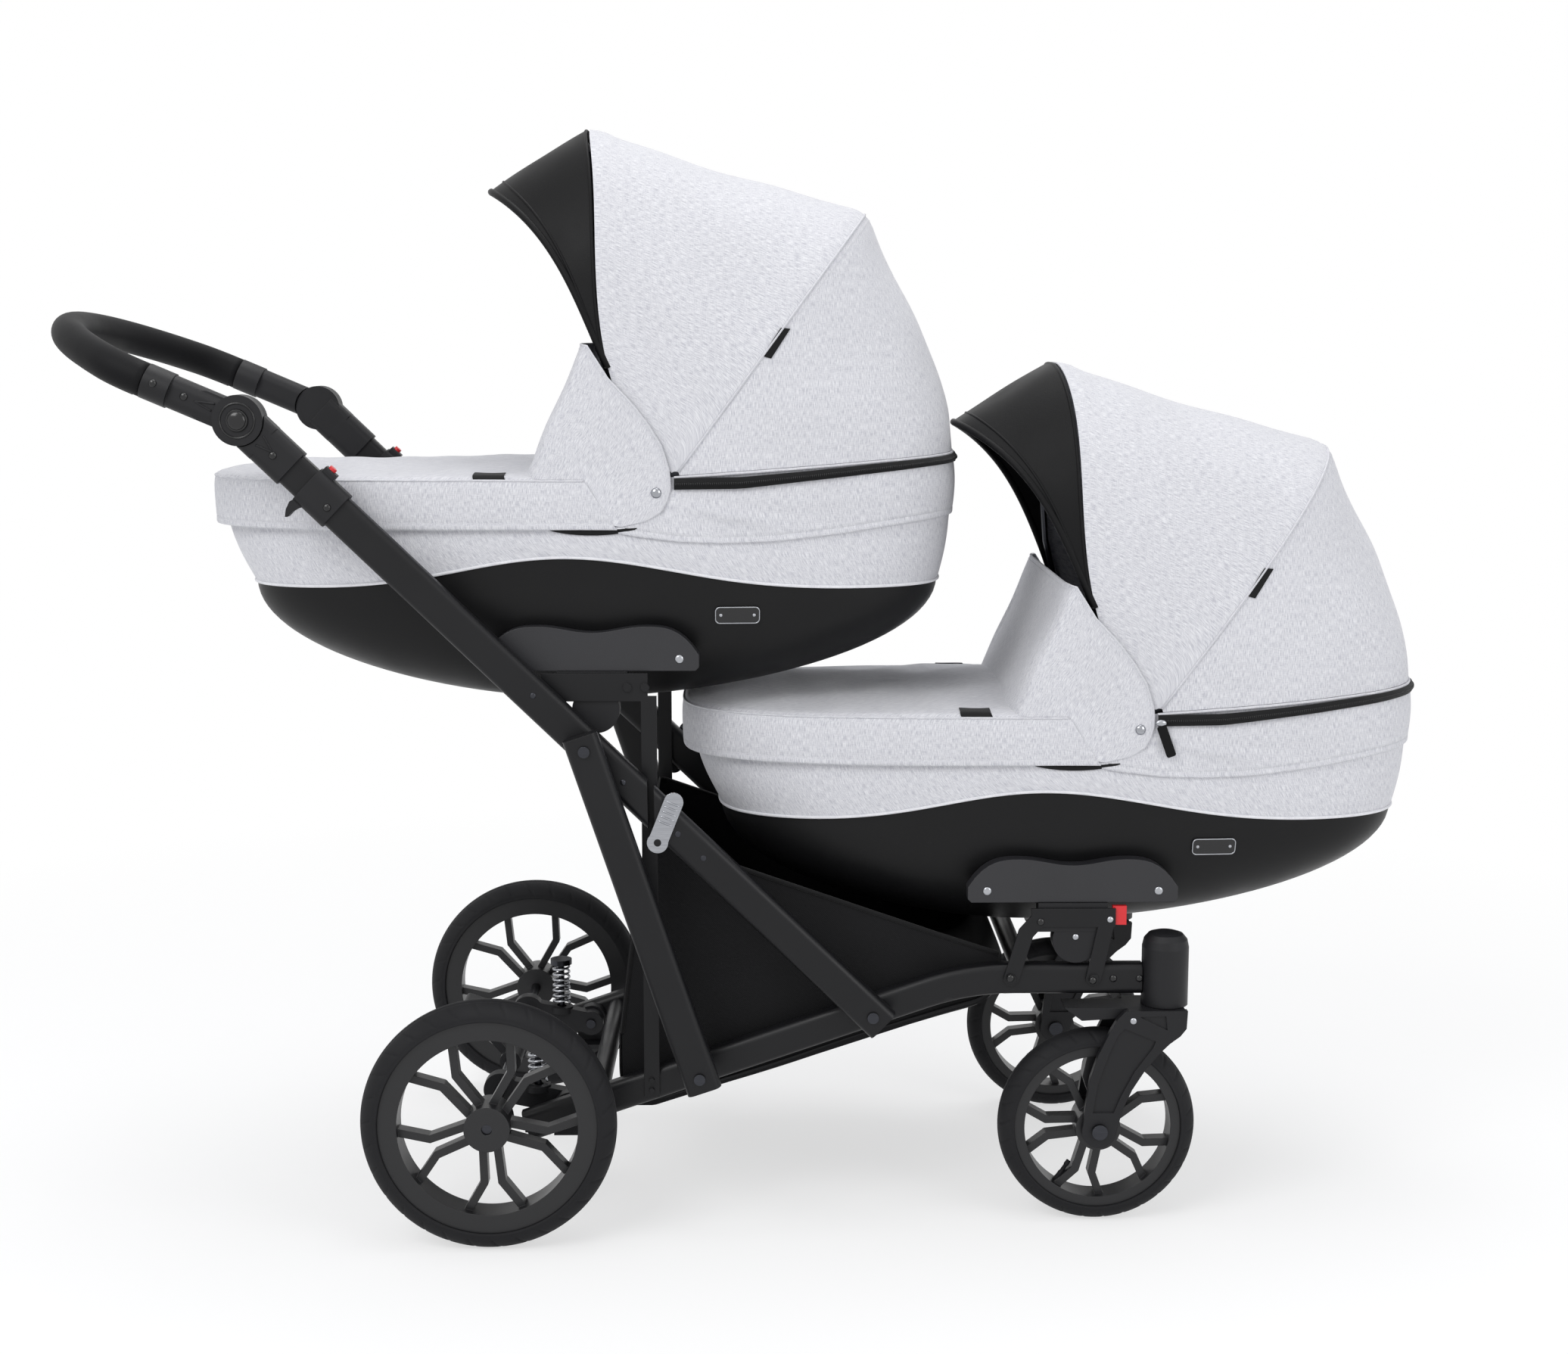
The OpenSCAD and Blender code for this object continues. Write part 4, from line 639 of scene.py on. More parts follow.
def make_side_fabric(cot):
    """Cloth wall round the shell: a lower band, and above its seam an overlapping panel that hangs slack."""
    angles = even_angles(300)
    base = plan(angles, COT_RIM, 0.0)[:, 0]
    low = wave_z(plan(angles, SHELL_H, 0.0)[:, 0])
    seam = seam_height(base)
    high = COT_RIM + rim_up(base) - 0.5
    levels = [(low + (seam - low) * t, 1.0 + 1.3 * math.sin(math.pi * min(t * 1.1, 1)))
              for t in np.linspace(0, 1, 16)]
    levels += [(seam + up, out) for up, out in ((-0.6, 2.4), (-1.4, 3.6), (-0.4, 4.3), (1.6, 4.4), (5.2, 4.1),
                                                (5.9, 3.5), (6.6, 4.0))]
    levels += [(seam + 6.6 + (high - seam - 6.6) * t, 4.0 + 0.8 * math.sin(math.pi * t) - 3.4 * t ** 4)
               for t in np.linspace(0, 1, 20)[1:]]
    grid = np.stack([plan_at(angles, np.minimum(z, COT_RIM), out, z) for z, out in levels])[:, ::-1]
    x, y, z = np.moveaxis(grid, 2, 0)
    above_seam = (np.linspace(0, 1, len(levels)) > 0.53)[:, None]
    under_zip = np.clip((COT_RIM + rim_up(x) - 18 - z) / 6, 0, 1)
    loose = above_seam * slack_folds(x, z) * (np.abs(y) > 150) * under_zip
    uneven = ripple(grid * (1, 1, 0.35), 3, 130, 0.45)
    uneven[0] = 0
    grid = placed(raised(grid, loose + uneven), cot)
    sheet(cot + "_side_cloth", grid, 0.9, melange_canvas, cot + "_cot", "grey_fabric", "stretched", cot + "_shell",
          cot + "_side_fabric", closed=True)
    tube(cot + "_lower_piping", grid[0] + grid_normals(grid)[0] * 0.5, 1.8, piping_cloth, cot + "_cot",
         "grey_fabric", closed=True)
    # Painted shade: on each side a thin black sheet stands for the dark inside of the handle slot's opening under the
    # apron's hem.
    share = np.linspace(0.02, 0.98, 40)
    dip = 9.0 * np.sin(np.pi * share) ** 0.55
    for side, label in SIDES:
        y = side * (COT_HALF + 2.4)
        rows = np.stack([np.stack([-52 + 106 * share, np.full(40, y + side * 2.2 * math.sin(math.pi * k)),
                                   208 - dip * (1 - k)], 1) for k in np.linspace(0, 1, 7)])
        sheet(f"{cot}_handle_slot_shade_{label}", placed(rows[:, ::-1] if side < 0 else rows, cot), 0.8, zip_tape,
              cot + "_cot", "basket_fabric", "stretched", cot + "_side_cloth")


def apron_end(z):
    """Where the apron's side edge stands at a height: a diagonal with a round top corner."""
    return np.interp(z, [204, 210, 240, 258, 266, 271, 274, 276], [30, 26, 6, -5, -12, -20, -30, -42])


def make_apron(cot):
    """Cover over the foot end: a crowned top, a side wall down to its hem, and a row of stitches over the hem."""
    dense = np.linspace(np.pi / 2 - 0.5, 3 * np.pi / 2 + 0.5, 6001)[::-1]
    line = plan(dense, COT_RIM, 0.0)
    run = lengths(line)
    middle = np.argmin(line[:, 0])

    def spread(end_x):
        """Angles at even steps between the two sides' end points."""
        first = np.interp(-end_x, -line[:middle, 0], run[:middle])
        last = np.interp(end_x, line[middle:, 0], run[middle:])
        return np.interp(np.linspace(first, last, 221), run, dense)

    wall = [(205.0, 4.8), (205.4, 6.2), (207.0, 7.0), (212, 7.1), (213.2, 6.6), (214.6, 7.1), (222, 7.4), (232, 7.8),
            (242, 8.0), (250, 7.8), (256, 7.2), (260.5, 6.0), (263.2, 4.0), (264.8, 1.2), (265.6, -2.0)]
    stitched, piped, label_rows = 4, 11, slice(11, 17)
    top, crown = wall[-1][0], 10
    rows = [plan_at(spread(apron_end(z)), COT_RIM, out, z) for z, out in wall]
    edge = rows[-1]
    spine_x = np.clip(edge[:, 0], -COT_FOOT + 170, None)
    for share in np.linspace(0, 1, 24)[1:]:
        rows.append(np.stack([edge[:, 0] + (spine_x - edge[:, 0]) * share, edge[:, 1] * (1 - share),
                              np.full(len(edge), top + crown * (1 - (1 - share) ** 2))], 1))
    grid = np.stack(rows)
    soft = np.ones((len(rows), 1))
    soft[:3] = 0.3
    soft[-1] = 0.0
    crumple = np.linspace(0, 1, len(rows))[:, None] > 0.4
    grid = raised(grid, (ripple(grid, 11, 150, 0.8) + crumple * ripple(grid, 13, 85, 1.1)) * soft)
    grid[-1, :, 1:] = 0.0, top + crown
    grid = placed(grid, cot)
    sheet(cot + "_apron_cloth", grid, 1.8, melange_canvas, cot + "_cot", "grey_fabric", "stretched",
          cot + "_side_cloth", cot + "_apron")
    normals = grid_normals(grid)
    sew(cot + "_apron_stitches", grid[stitched], normals[stitched], cot + "_cot")
    tube(cot + "_apron_piping", grid[piped] + normals[piped] * 0.2, 1.3, melange_canvas, cot + "_cot", "grey_fabric")
    along = grid[piped, :, 0] - COTS[cot][0]
    for side, label in SIDES:
        columns = np.nonzero((along > -135) & (along < -93) & (grid[piped, :, 1] * side > 0))[0]
        sheet(f"{cot}_apron_tag_{label}", (grid + normals * 1.1)[label_rows][:, columns], 0.9, zip_tape,
              cot + "_cot", "basket_fabric", "stretched", cot + "_apron_cloth")


def make_wind_flap(cot):
    """Panel that comes out from under the apron and stands up in front of the hood, buttoned at both sides."""
    share = np.linspace(0, 1, 46)
    bottom = np.array([(-60, 262), (-30, 256), (2, 214), (34, 209), (62, 215.5), (79, 224.5)], float)
    top = np.array([(-2, 410), (20.5, 374.4), (48.5, 344.5), (65, 323), (80, 298.6), (88, 272), (89.7, 252), (86, 238),
                    (80, 227)], float)
    low = np.stack([np.interp(share, [0, 0.16, 0.5, 0.66, 0.85, 1], bottom[:, k]) for k in (0, 1)], 1)
    high = np.stack([np.interp(share, [0, 0.2, 0.42, 0.55, 0.7, 0.82, 0.9, 0.96, 1], top[:, k]) for k in (0, 1)], 1)
    corner, half = 52.0, COT_HALF + 5.4
    # Each column has its two ends seen from the side, its y, and its share of the move to the foot end.
    columns = [(a, b, -half, 0.0) for a, b in zip(low[::-1], high[::-1])]
    columns += [(low[0], high[0], -half + corner * (1 - np.cos(turn)), np.sin(turn))
                for turn in np.linspace(0, np.pi / 2, 12)[1:]]
    columns += [(low[0], high[0], y, 1.0) for y in np.linspace(-half + corner, 0, 16)[1:]]
    rows = []
    for t in np.linspace(0, 1, 34):
        points = []
        for a, b, y, forward in columns:
            x, z = a + (b - a) * t
            points.append((x - forward * (20 - 10 * t), y, z + (forward * 2.0 * t - 4 * (1 - t) * forward)))
        rows.append(points + [(x, -y, z) for x, y, z in points[-2::-1]])
    grid = np.array(rows)
    up = np.linspace(0, 1, grid.shape[0])[:, None]
    fade = np.sin(np.pi * np.clip(up * 0.9 + 0.08, 0, 1))
    lean = 4.0 * np.sin(np.pi * up) * (np.abs(grid[..., 1]) < half - 20)
    grid = raised(grid, ripple(grid, 21, 120, 1.2) * fade - lean)
    y = np.abs(grid[..., 1])
    grid[..., 1] = np.sign(grid[..., 1]) * np.where(y > half - 4, np.clip(y, half - 0.9, half + 1.2), y)
    grid = placed(grid, cot)
    sheet(cot + "_wind_flap", grid, 1.5, melange_canvas, cot + "_cot", "grey_fabric", "hung", cot + "_apron_cloth")
    normals = grid_normals(grid)
    tube(cot + "_flap_hem", grid[-1] - normals[-1] * 0.7, 1.5, melange_canvas, cot + "_cot", "grey_fabric")
    sew(cot + "_flap_stitches", grid[-2], normals[-2], cot + "_cot")
    for side, label in SIDES:
        heads(f"{cot}_snap_{label}", placed([(74, side * (half + 0.8), 247)], cot), (0, side, 0), (1, 0, 0),
              (12.5, 12.5, 7), bright_chrome, cot + "_cot", "chrome")


def hood_r(deg):
    """Reach of the hood's cloth by its angle, with the fold over the middle bow rounded off."""
    front, middle = polar(HOOD_FRONT_R, FRONT_BOW), polar(HOOD_MID_R, MID_BOW)
    return float(np.mean([chord(front, middle, d) if d > MID_BOW else chord(middle, HOOD_BACK, d)
                          for d in np.linspace(deg - 2.2, deg + 2.2, 9)]))


def arch_grain(grid):
    """Cloth coordinates of a hood panel: over the arch from its top, and along the pram."""
    return np.stack([across_run(grid[..., 1:]), grid[..., 0]], 2) * MM


def wrap_grain(grid, cot):
    """Cloth coordinates of the hood's rear panel: round an upright axis, with the streaks up the cloth."""
    around = np.arctan2(grid[..., 1], grid[..., 0] - (COTS[cot][0] + HOOD_AXIS))
    return np.stack([200 * around, grid[..., 2]], 2) * MM


def flare(grid, share):
    """Hood panel whose lower rows widen to the outline of the wall's rim, by a share for each row."""
    middle = np.array((HOOD_AXIS, 0.0))
    rim = plan(np.linspace(-np.pi, np.pi, 4001), COT_RIM, 1.0)[:, :2] - middle
    rim_turn = np.arctan2(rim[:, 1], rim[:, 0])
    order = np.argsort(rim_turn)
    off = grid[..., :2] - middle
    wanted = np.interp(np.arctan2(off[..., 1], off[..., 0]), rim_turn[order], np.linalg.norm(rim, axis=1)[order])
    wide = np.maximum(wanted / np.linalg.norm(off, axis=2), 1) - 1
    made = grid.copy()
    made[..., :2] = middle + off * (1 + wide * share[:, None])[..., None]
    return made


def make_hood(cot):
    """Two cloth panels over the bows, with the seam between them, and the zip along the rear panel's foot."""
    shares = arch_shares(5 / HOOD_MID_R, 113)
    flat_share = np.sin(shares)

    degs = np.linspace(FRONT_BOW - 0.3, MID_BOW + 0.05, 45)
    t = (degs - MID_BOW) / (FRONT_BOW - MID_BOW)
    ridge = 3.5 * np.exp(-((degs - FRONT_BOW + 2.2) / 1.6) ** 2) - 3.0 * np.sin(np.pi * t)
    grid = np.stack([rib(shares, d, FRONT_SWEEP * k * k, hood_r(d) + bump, HOOD_HALF)
                     for d, k, bump in zip(degs, t, ridge)])
    fade = (np.sin(np.pi * t) ** 0.7)[:, None] * flat_share
    front = placed(raised(grid, ripple(grid, 31, 170, 1.6) * fade), cot)
    panel = cloth_shell(cot + "_hood_front_cloth", front, 1.2, [melange_canvas, hood_lining], grain=arch_grain(front))
    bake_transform(panel)
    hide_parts(cot + "_hood_front")

    degs = np.linspace(MID_BOW - 0.05, RIM_CLIMB, 40)
    t = (MID_BOW - degs) / (MID_BOW - RIM_CLIMB)
    grid = np.stack([rib(shares, d, 0, hood_r(d) + 2.0 * math.sin(math.pi * k), HOOD_HALF) for d, k in zip(degs, t)])
    grid = flare(grid, np.clip((t - 0.1) / 0.9, 0, 1) ** 1.5)
    fade = (np.sin(np.pi * t) ** 0.7)[:, None] * flat_share
    low_fold = (np.exp(-((t - 0.9) / 0.12) ** 2))[:, None] * flat_share
    rear = placed(raised(grid, ripple(grid, 37, 150, 1.5) * fade + ripple(grid, 41, 60, 0.7) * low_fold), cot)
    sheet(cot + "_hood_rear_cloth", rear, 1.2, melange_canvas, cot + "_cot", "grey_fabric", "stretched",
          [cot + "_mid_bow", cot + "_shell"], cot + "_hood_rear", lining=hood_lining, grain=wrap_grain(rear, cot))

    normals = grid_normals(rear)
    tube(cot + "_hood_seam", rear[0] + normals[0] * 0.3, 1.5, melange_canvas, cot + "_cot", "grey_fabric")
    sew(cot + "_hood_stitches", rear[1], normals[1], cot + "_cot")
    make_zip(cot, rear)


def make_zip(cot, rear):
    """Zip under the hood's edge: a tape that follows the edge round the head end, with its coil of teeth."""
    lead = np.arange(94.0, 99.0, 2.0)
    start = np.stack([lead, np.full_like(lead, HOOD_HALF),
                      PIVOT_Z + (lead - PIVOT_X) * math.tan(math.radians(RIM_CLIMB))], 1)
    line = np.concatenate([placed(start, cot), rear[-1, ::-1], placed(start[::-1] * (1, -1, 1), cot)])
    outward = unit(np.cross((0, 0, 1.0), np.gradient(line, axis=0)))
    x = line[:, 0] - COTS[cot][0]
    drop = np.interp(x, [97, 169, 240, 312, 383], [2.5, 6.5, 5.5, 4, 3])
    wide = np.interp(x, [97, 169, 240, 312, 383], [13.1, 13.2, 11.4, 10.7, 9.6])

    def along(share, bulge):
        """Line on the tape by its share of the width from the lower edge."""
        return line + outward * bulge - np.outer(drop + wide * (1 - share), (0, 0, 1.0))

    grid = np.stack([along(share, bulge) for share, bulge in (
        (0, 2.6), (0.04, 4.7), (0.30, 5.2), (0.36, 6.0), (0.62, 6.1), (0.68, 5.3), (0.96, 4.4), (1, 1.8))])
    sheet(cot + "_zip_tape", grid, 1.0, zip_tape, cot + "_cot", "basket_fabric", "stretched", cot + "_side_cloth")
    points, ahead, _ = even_points(along(0.49, 6.1), 2.4)
    heads(cot + "_zip_teeth", points, (0, 0, 1), ahead, (1.5, 1.6, 3.4), gloss_abs, cot + "_cot", "basket_fabric")
    tube(cot + "_hood_hem", line + outward * 0.6 - np.outer(np.minimum(drop, 2.0), (0, 0, 1.0)), 1.7, melange_canvas,
         cot + "_cot", "grey_fabric")


def make_visor(cot):
    """Leatherette visor with a rolled hem along its front edge."""
    start = 0.36
    shares = arch_shares(start, 91)
    lift = np.sin(shares) ** (2 / HOOD_N)
    rows = []
    for t in np.linspace(1, 0, 22):
        more = VISOR_DEG * np.maximum(0, (lift - start + 0.03) / (1 - start + 0.03)) ** 1.1 * t
        r = HOOD_FRONT_R - 16 * t - 5 * math.sin(math.pi * t)
        rows.append(rib(shares, FRONT_BOW + 0.4 + more, FRONT_SWEEP, r, HOOD_HALF - 0.5))
    grid = np.stack(rows)
    fade = np.sin(np.pi * np.linspace(0, 1, 22))[:, None]
    grid = placed(raised(grid, ripple(grid, 51, 140, 0.9) * fade), cot)
    sheet(cot + "_visor_leather", grid, 3.0, leatherette, cot + "_hood", "visor_leather", "stretched",
          cot + "_front_bow", cot + "_visor", turned=True)
    normals = grid_normals(grid)
    for label, row, inset, radius, sides in (("hem", 0, 1.5, 4.2, 12), ("fold", 3, 0.6, 1.8, 10),
                                             ("seam", -1, 0.8, 2.0, 10)):
        tube(f"{cot}_visor_{label}", grid[row] - normals[row] * inset, radius, leatherette, cot + "_hood",
             "visor_leather", sides=sides)


def plain_mesh(piece):
    """The piece's mesh, after its modifiers are worked in, and where its points are."""
    made = worked_mesh(piece)
    piece.modifiers.clear()
    piece.data = made
    return made, np.array([v.co for v in made.vertices])


def swell(piece, limit_mm):
    """Short cloth run in which the filling presses the cover out, held to a few millimetres so that it stays put."""
    scene, last = bpy.context.scene, 20
    even = piece.modifiers.new("even", "REMESH")
    even.mode, even.voxel_size = "VOXEL", 0.006
    _, rest = plain_mesh(piece)
    run = piece.modifiers.new("filling", "CLOTH")
    run.settings.quality = 5
    run.settings.use_pressure, run.settings.uniform_pressure_force = True, 4.0
    run.settings.effector_weights.gravity = 0.0
    run.point_cache.frame_start, run.point_cache.frame_end = 1, last
    for frame_at in range(1, last + 1):
        scene.frame_set(frame_at)
    mesh, swollen = plain_mesh(piece)
    scene.frame_set(1)
    moved = swollen - rest
    length = np.linalg.norm(moved, axis=1, keepdims=True)
    full = rest + moved * np.minimum(1, limit_mm * MM / np.maximum(length, 1e-9))
    full[:, 2] = np.maximum(full[:, 2], rest[:, 2].min())
    mesh.vertices.foreach_set("co", full.astype(np.float32).ravel())
    smooth = piece.modifiers.new("smooth", "SUBSURF")
    smooth.levels = smooth.render_levels = 1
    mesh, at = plain_mesh(piece)
    shade_smooth(mesh)
    mesh.materials.clear()
    mesh.materials.append(cotton_jersey)
    set_cloth(mesh, at[:, :2])


def make_mattress(cot):
    """Foam pad in its cover, swelled by a short cloth run."""
    angles = even_angles(96)
    # Each ring's height, the height of the shell whose outline it takes, and how far it is set in.
    rings = [(8.6, 7.0, 0), (20.0, 19.2, 3), (34, 34, 3), (42.0, 40, 5), (48.0, 40, 14), (51.0, 40, 40), (52.0, 40, 90)]
    flat = np.concatenate([plan_at(angles, level, -SHELL_WALL - 4.0 - inset, z) for z, level, inset in rings])
    faces = quads(len(rings), len(angles)) + end_caps(len(rings), len(angles))
    piece = new_piece(cot + "_mattress_cover", placed(flat, cot), faces, [cotton_jersey], uvs=flat[:, :2] * MM)
    swell(piece, 5.0)
    dress(piece, cot + "_cot", "white_fabric", cot + "_mattress")


# Chassis

def make_basket():
    """Hanging shopping bag of black cloth: sagging sides, a bound rim and sewn seams."""
    wall = 1.5
    # Side outline from the rear rim, under the floor, to the front rim.
    keys = np.array([(-106, 453), (-122, 340), (-138, 210), (-139, 150), (-128, 128), (-100, 128), (80, 186),
                     (240, 239), (286, 252), (303, 270), (305, 312)], float)
    line = walk(keys, np.linspace(0, 1, 120) * lengths(keys)[-1])
    smooth = line.copy()
    for k in (0, 1):
        smooth[2:-2, k] = np.convolve(line[:, k], np.ones(5) / 5, "valid")

    def rim_height(x):
        return np.interp(x, [-106, 232, 305], [453, 336, 312])

    across = np.concatenate([np.linspace(-1, -0.94, 8), np.linspace(-0.9, 0.9, 30), np.linspace(0.94, 1, 8)])
    floor = np.stack([np.stack([smooth[:, 0], np.full(len(smooth), f * BASKET_HALF),
                                smooth[:, 1] + 10 * (abs(f) > 0.93) * ((abs(f) - 0.93) / 0.07) ** 2], 1)
                      for f in across], 1)
    floor[..., 2] = np.minimum(floor[..., 2], rim_height(floor[..., 0]))
    floor = raised(floor, ripple(floor, 61, 120, 1.6) * 0.6)
    floor[..., 1] = np.clip(floor[..., 1], -BASKET_HALF, BASKET_HALF)
    sheet("basket_belly", floor, wall, bag_polyester, "chassis", "basket_fabric", "hung", "lower_tubes", "basket")
    xs = np.linspace(-137, 303, 90)
    low = np.interp(xs, [-139, -128, -100, 80, 240, 286, 305], [150, 130, 130, 188, 241, 254, 276])
    high = np.where(xs < -106, np.interp(xs, [-139, -138, -122, -106], [150, 210, 340, 453]), rim_height(xs))
    for side, label in SIDES:
        rows = []
        for s in np.linspace(0, 1, 40):
            sag = -5.0 * np.sin(np.pi * s) * np.sin(np.pi * np.linspace(0, 1, len(xs)))
            fold = 1.6 * np.sin(xs / 23.0 + 2.2 * s) * np.sin(np.pi * s)
            out = np.minimum(np.abs(BASKET_HALF - 1 + sag + fold), BASKET_HALF)
            rows.append(np.stack([xs, side * out, low + (high - low) * s], 1))
        grid = np.stack(rows)
        if side < 0:
            grid = grid[:, ::-1]
        sheet(f"basket_side_{label}", grid, wall, bag_polyester, "chassis", "basket_fabric", "hung", "lower_tubes")
        tube(f"basket_binding_{label}", grid[-1], 2.6, zip_tape, "chassis", "basket_fabric")


def make_tyre(label, centre, radius, width, depth, body):
    """Foam tyre: a round crown with shallow curved sipes over both shoulders."""
    around, across = 420, 44
    turn = np.linspace(0, 2 * np.pi, around, endpoint=False)
    half_angle = math.acos(1 - depth / (width / 2))
    grid = np.zeros((around, across, 3))
    pitch = 2 * np.pi / 30
    for j, a in enumerate(np.linspace(-half_angle, half_angle, across)):
        lean = abs(a)
        sweep = 0.55 * pitch * (lean / 1.5) ** 1.4
        phase = ((turn + sweep + (pitch / 2 if a > 0 else 0)) % pitch) / pitch
        near = np.minimum(phase, 1 - phase) * pitch * radius
        shoulder = np.clip((lean - 0.28) / 0.2, 0, 1) * np.clip((half_angle - 0.2 - lean) / 0.2, 0, 1)
        sipe = 1.5 * np.exp(-(near / 1.3) ** 2) * shoulder
        ring = 0.7 * math.exp(-((lean - 0.26) / 0.05) ** 2) + 0.6 * math.exp(-((lean - half_angle + 0.16) / 0.05) ** 2)
        tube_r = width / 2 - sipe - ring
        r = radius - width / 2 + tube_r * math.cos(a)
        grid[:, j] = np.stack([r * np.cos(turn), tube_r * math.sin(a), r * np.sin(turn)], 1)
    piece = new_piece(label + "_tread", grid.reshape(-1, 3) + np.asarray(centre), quads(around, across, loop=True),
                      [foam_tyre])
    dress(face_out(piece), body, "tyre_rubber", label)


def make_spring(side, label):
    """Coil spring from its lower seat up to its upper one."""
    coils = 7
    turns = np.linspace(0, coils, coils * 28 + 1)
    path = np.stack([SPRING_X + SPRING_R * np.cos(2 * np.pi * turns),
                     side * SPRING_Y + SPRING_R * np.sin(2 * np.pi * turns),
                     SPRING_LOW + (SPRING_HIGH - SPRING_LOW) * turns / coils], 1)
    piece = tube(f"spring_coil_{label}", path, 1.5, spring_steel, "chassis", "dark_steel", "springs", sides=12)
    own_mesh(piece)


def make_grip():
    """Leatherette cover round the handle bar's bend, with its seam underneath."""
    slope, begin = math.radians(BAR_SLOPE), 112.0
    psi = math.asin((BAR_HALF - BAR_BEND) / (BAR_ARCH - BAR_BEND))
    reach_mid = BAR_STRAIGHT + BAR_ARCH - (BAR_ARCH - BAR_BEND) * math.cos(psi)
    turn = np.concatenate([np.linspace(np.pi / 2, psi, 16), np.linspace(psi, -psi, 66)[1:-1],
                           np.linspace(-psi, -np.pi / 2, 16)])
    corner = np.abs(turn) >= psi - 1e-9
    u = np.where(corner, BAR_STRAIGHT + BAR_BEND * np.cos(turn), reach_mid - BAR_ARCH + BAR_ARCH * np.cos(turn))
    y = np.where(corner, np.sign(turn) * (BAR_HALF - BAR_BEND) + BAR_BEND * np.sin(turn), BAR_ARCH * np.sin(turn))
    u, y = np.concatenate([[begin], u, [begin]]), np.concatenate([[BAR_HALF], y, [-BAR_HALF]])
    path = np.stack([KNOB[0] - u * math.cos(slope), y, KNOB[1] + u * math.sin(slope)], 1)
    tube("grip_leather", path, GRIP_R, grip_leatherette, "handle", "grip_leather", "grip_cover", sides=36)
    under = np.array((-math.sin(slope), 0, -math.cos(slope)))
    tube("grip_seam", path[1:-1] + under * (GRIP_R - 0.2), 0.9, grip_leatherette, "handle", "grip_leather")


# Fittings

TREES = {}


def surface(x, z, side, *names):
    """Outermost point in millimetres, and its normal, of the named objects at a place seen from one side."""
    best = None
    for each in names:
        if each not in TREES:
            piece = bpy.data.objects[each] if each in bpy.data.objects else nodes[each]
            where = piece.matrix_world
            TREES[each] = BVHTree.FromPolygons([where @ v.co for v in piece.data.vertices],
                                               [tuple(f.vertices) for f in piece.data.polygons])
        at, normal, _, _ = TREES[each].ray_cast(Vector((x * MM, side * 0.7, z * MM)), Vector((0, -side, 0)))
        if at is not None and (best is None or side * at.y > side * best[0].y):
            best = (at, normal)
    if best is None:
        return None
    normal = best[1] if best[1].y * side > 0 else -best[1]
    return np.array(best[0]) / MM, np.array(normal)


def surface_points(spots, side, *names):
    """Outermost points at several places, without those where nothing is met."""
    found = [surface(x, z, side, *names) for x, z in spots]
    return [f[0] for f in found if f is not None]


def set_heads(name, body, slot, finish, size, spots, *names, heading=(1, 0, 0)):
    """Bolts or rivets on both sides, each on the outermost surface at its place; * stands for the side's name."""
    for side, label in SIDES:
        points = surface_points(spots, side, *[n.replace("*", label) for n in names])
        if points:
            heads(f"{name}_{label}", points, (0, side, 0), heading, size, finish, body.replace("*", label), slot)


def plaque(name, at, along, up, size, thick, corner, finish):
    """Flat plate with round corners and a broken upper edge, and the line round its face."""
    w, h = size[0] / 2 - corner, size[1] / 2 - corner
    flat = np.array([[(sx * w + (corner - inset) * math.cos(q + k), sz * h + (corner - inset) * math.sin(q + k), lift)
                      for sx, sz, q in ((1, 1, 0), (-1, 1, np.pi / 2), (-1, -1, np.pi), (1, -1, 3 * np.pi / 2))
                      for k in np.linspace(0, np.pi / 2, 7)]
                     for inset, lift in ((0, 0), (0, thick - 0.4), (0.4, thick))])
    verts = np.asarray(at) + flat[..., :1] * along + flat[..., 1:2] * up + flat[..., 2:] * np.cross(along, up)
    n = verts.shape[1]
    sharp = [(i * n + j, i * n + (j + 1) % n) for i in (1, 2) for j in range(n)]
    return new_piece(name, verts.reshape(-1, 3), quads(3, n) + end_caps(3, n), [finish], sharp=sharp), verts[1]


def make_name_plates(cot):
    """Blank plates riveted to the shell on both sides."""
    shell = cot + "_shell"
    x, _, z = placed((164.5, 0, 107.5), cot)
    for side, label in SIDES:
        mid, normal = surface(x, z, side, shell)
        along = -side * unit(surface(x + 15, z, side, shell)[0] - surface(x - 15, z, side, shell)[0])
        up = unit(np.cross(normal, along))
        plate, edge = plaque(f"{cot}_name_plate_{label}", mid - normal * 0.3, along, up, (50, 19), 2.2, 5, gloss_abs)
        dress(plate, cot + "_cot", "black_plastic")
        tube(f"{cot}_plate_rim_{label}", edge + normal * 0.3, 0.7, spring_steel, cot + "_cot", "chrome", sides=8,
             closed=True)
        heads(f"{cot}_plate_rivets_{label}", [mid + along * k + normal * 1.9 for k in (-19, 19)], normal, along,
              (4, 4, 1.6), spring_steel, cot + "_cot", "chrome")


def make_hood_tags(cot):
    """Small blank label sewn flat on the cloth on both sides, through four corners seen from the side."""
    pieces = [cot + "_hood_rear_cloth", cot + "_hood_front_cloth"]
    corners = np.array([(193, 399), (214, 430), (224.5, 429), (203, 396)], float)
    for side, label in SIDES:
        rows = []
        for s in np.linspace(0, 1, 5):
            low, high = corners[0] + (corners[1] - corners[0]) * s, corners[3] + (corners[2] - corners[3]) * s
            hits = [surface(*(low + (high - low) * k + COTS[cot]), side, *pieces) for k in np.linspace(0, 1, 5)]
            rows.append([point + normal * 1.3 for point, normal in hits])
        grid = np.array(rows)
        if grid_normals(grid)[2, 2, 1] * side < 0:
            grid = grid[:, ::-1]
        sheet(f"{cot}_hood_tag_{label}", grid, 0.9, zip_tape, cot + "_cot", "basket_fabric", "stretched", pieces[0])


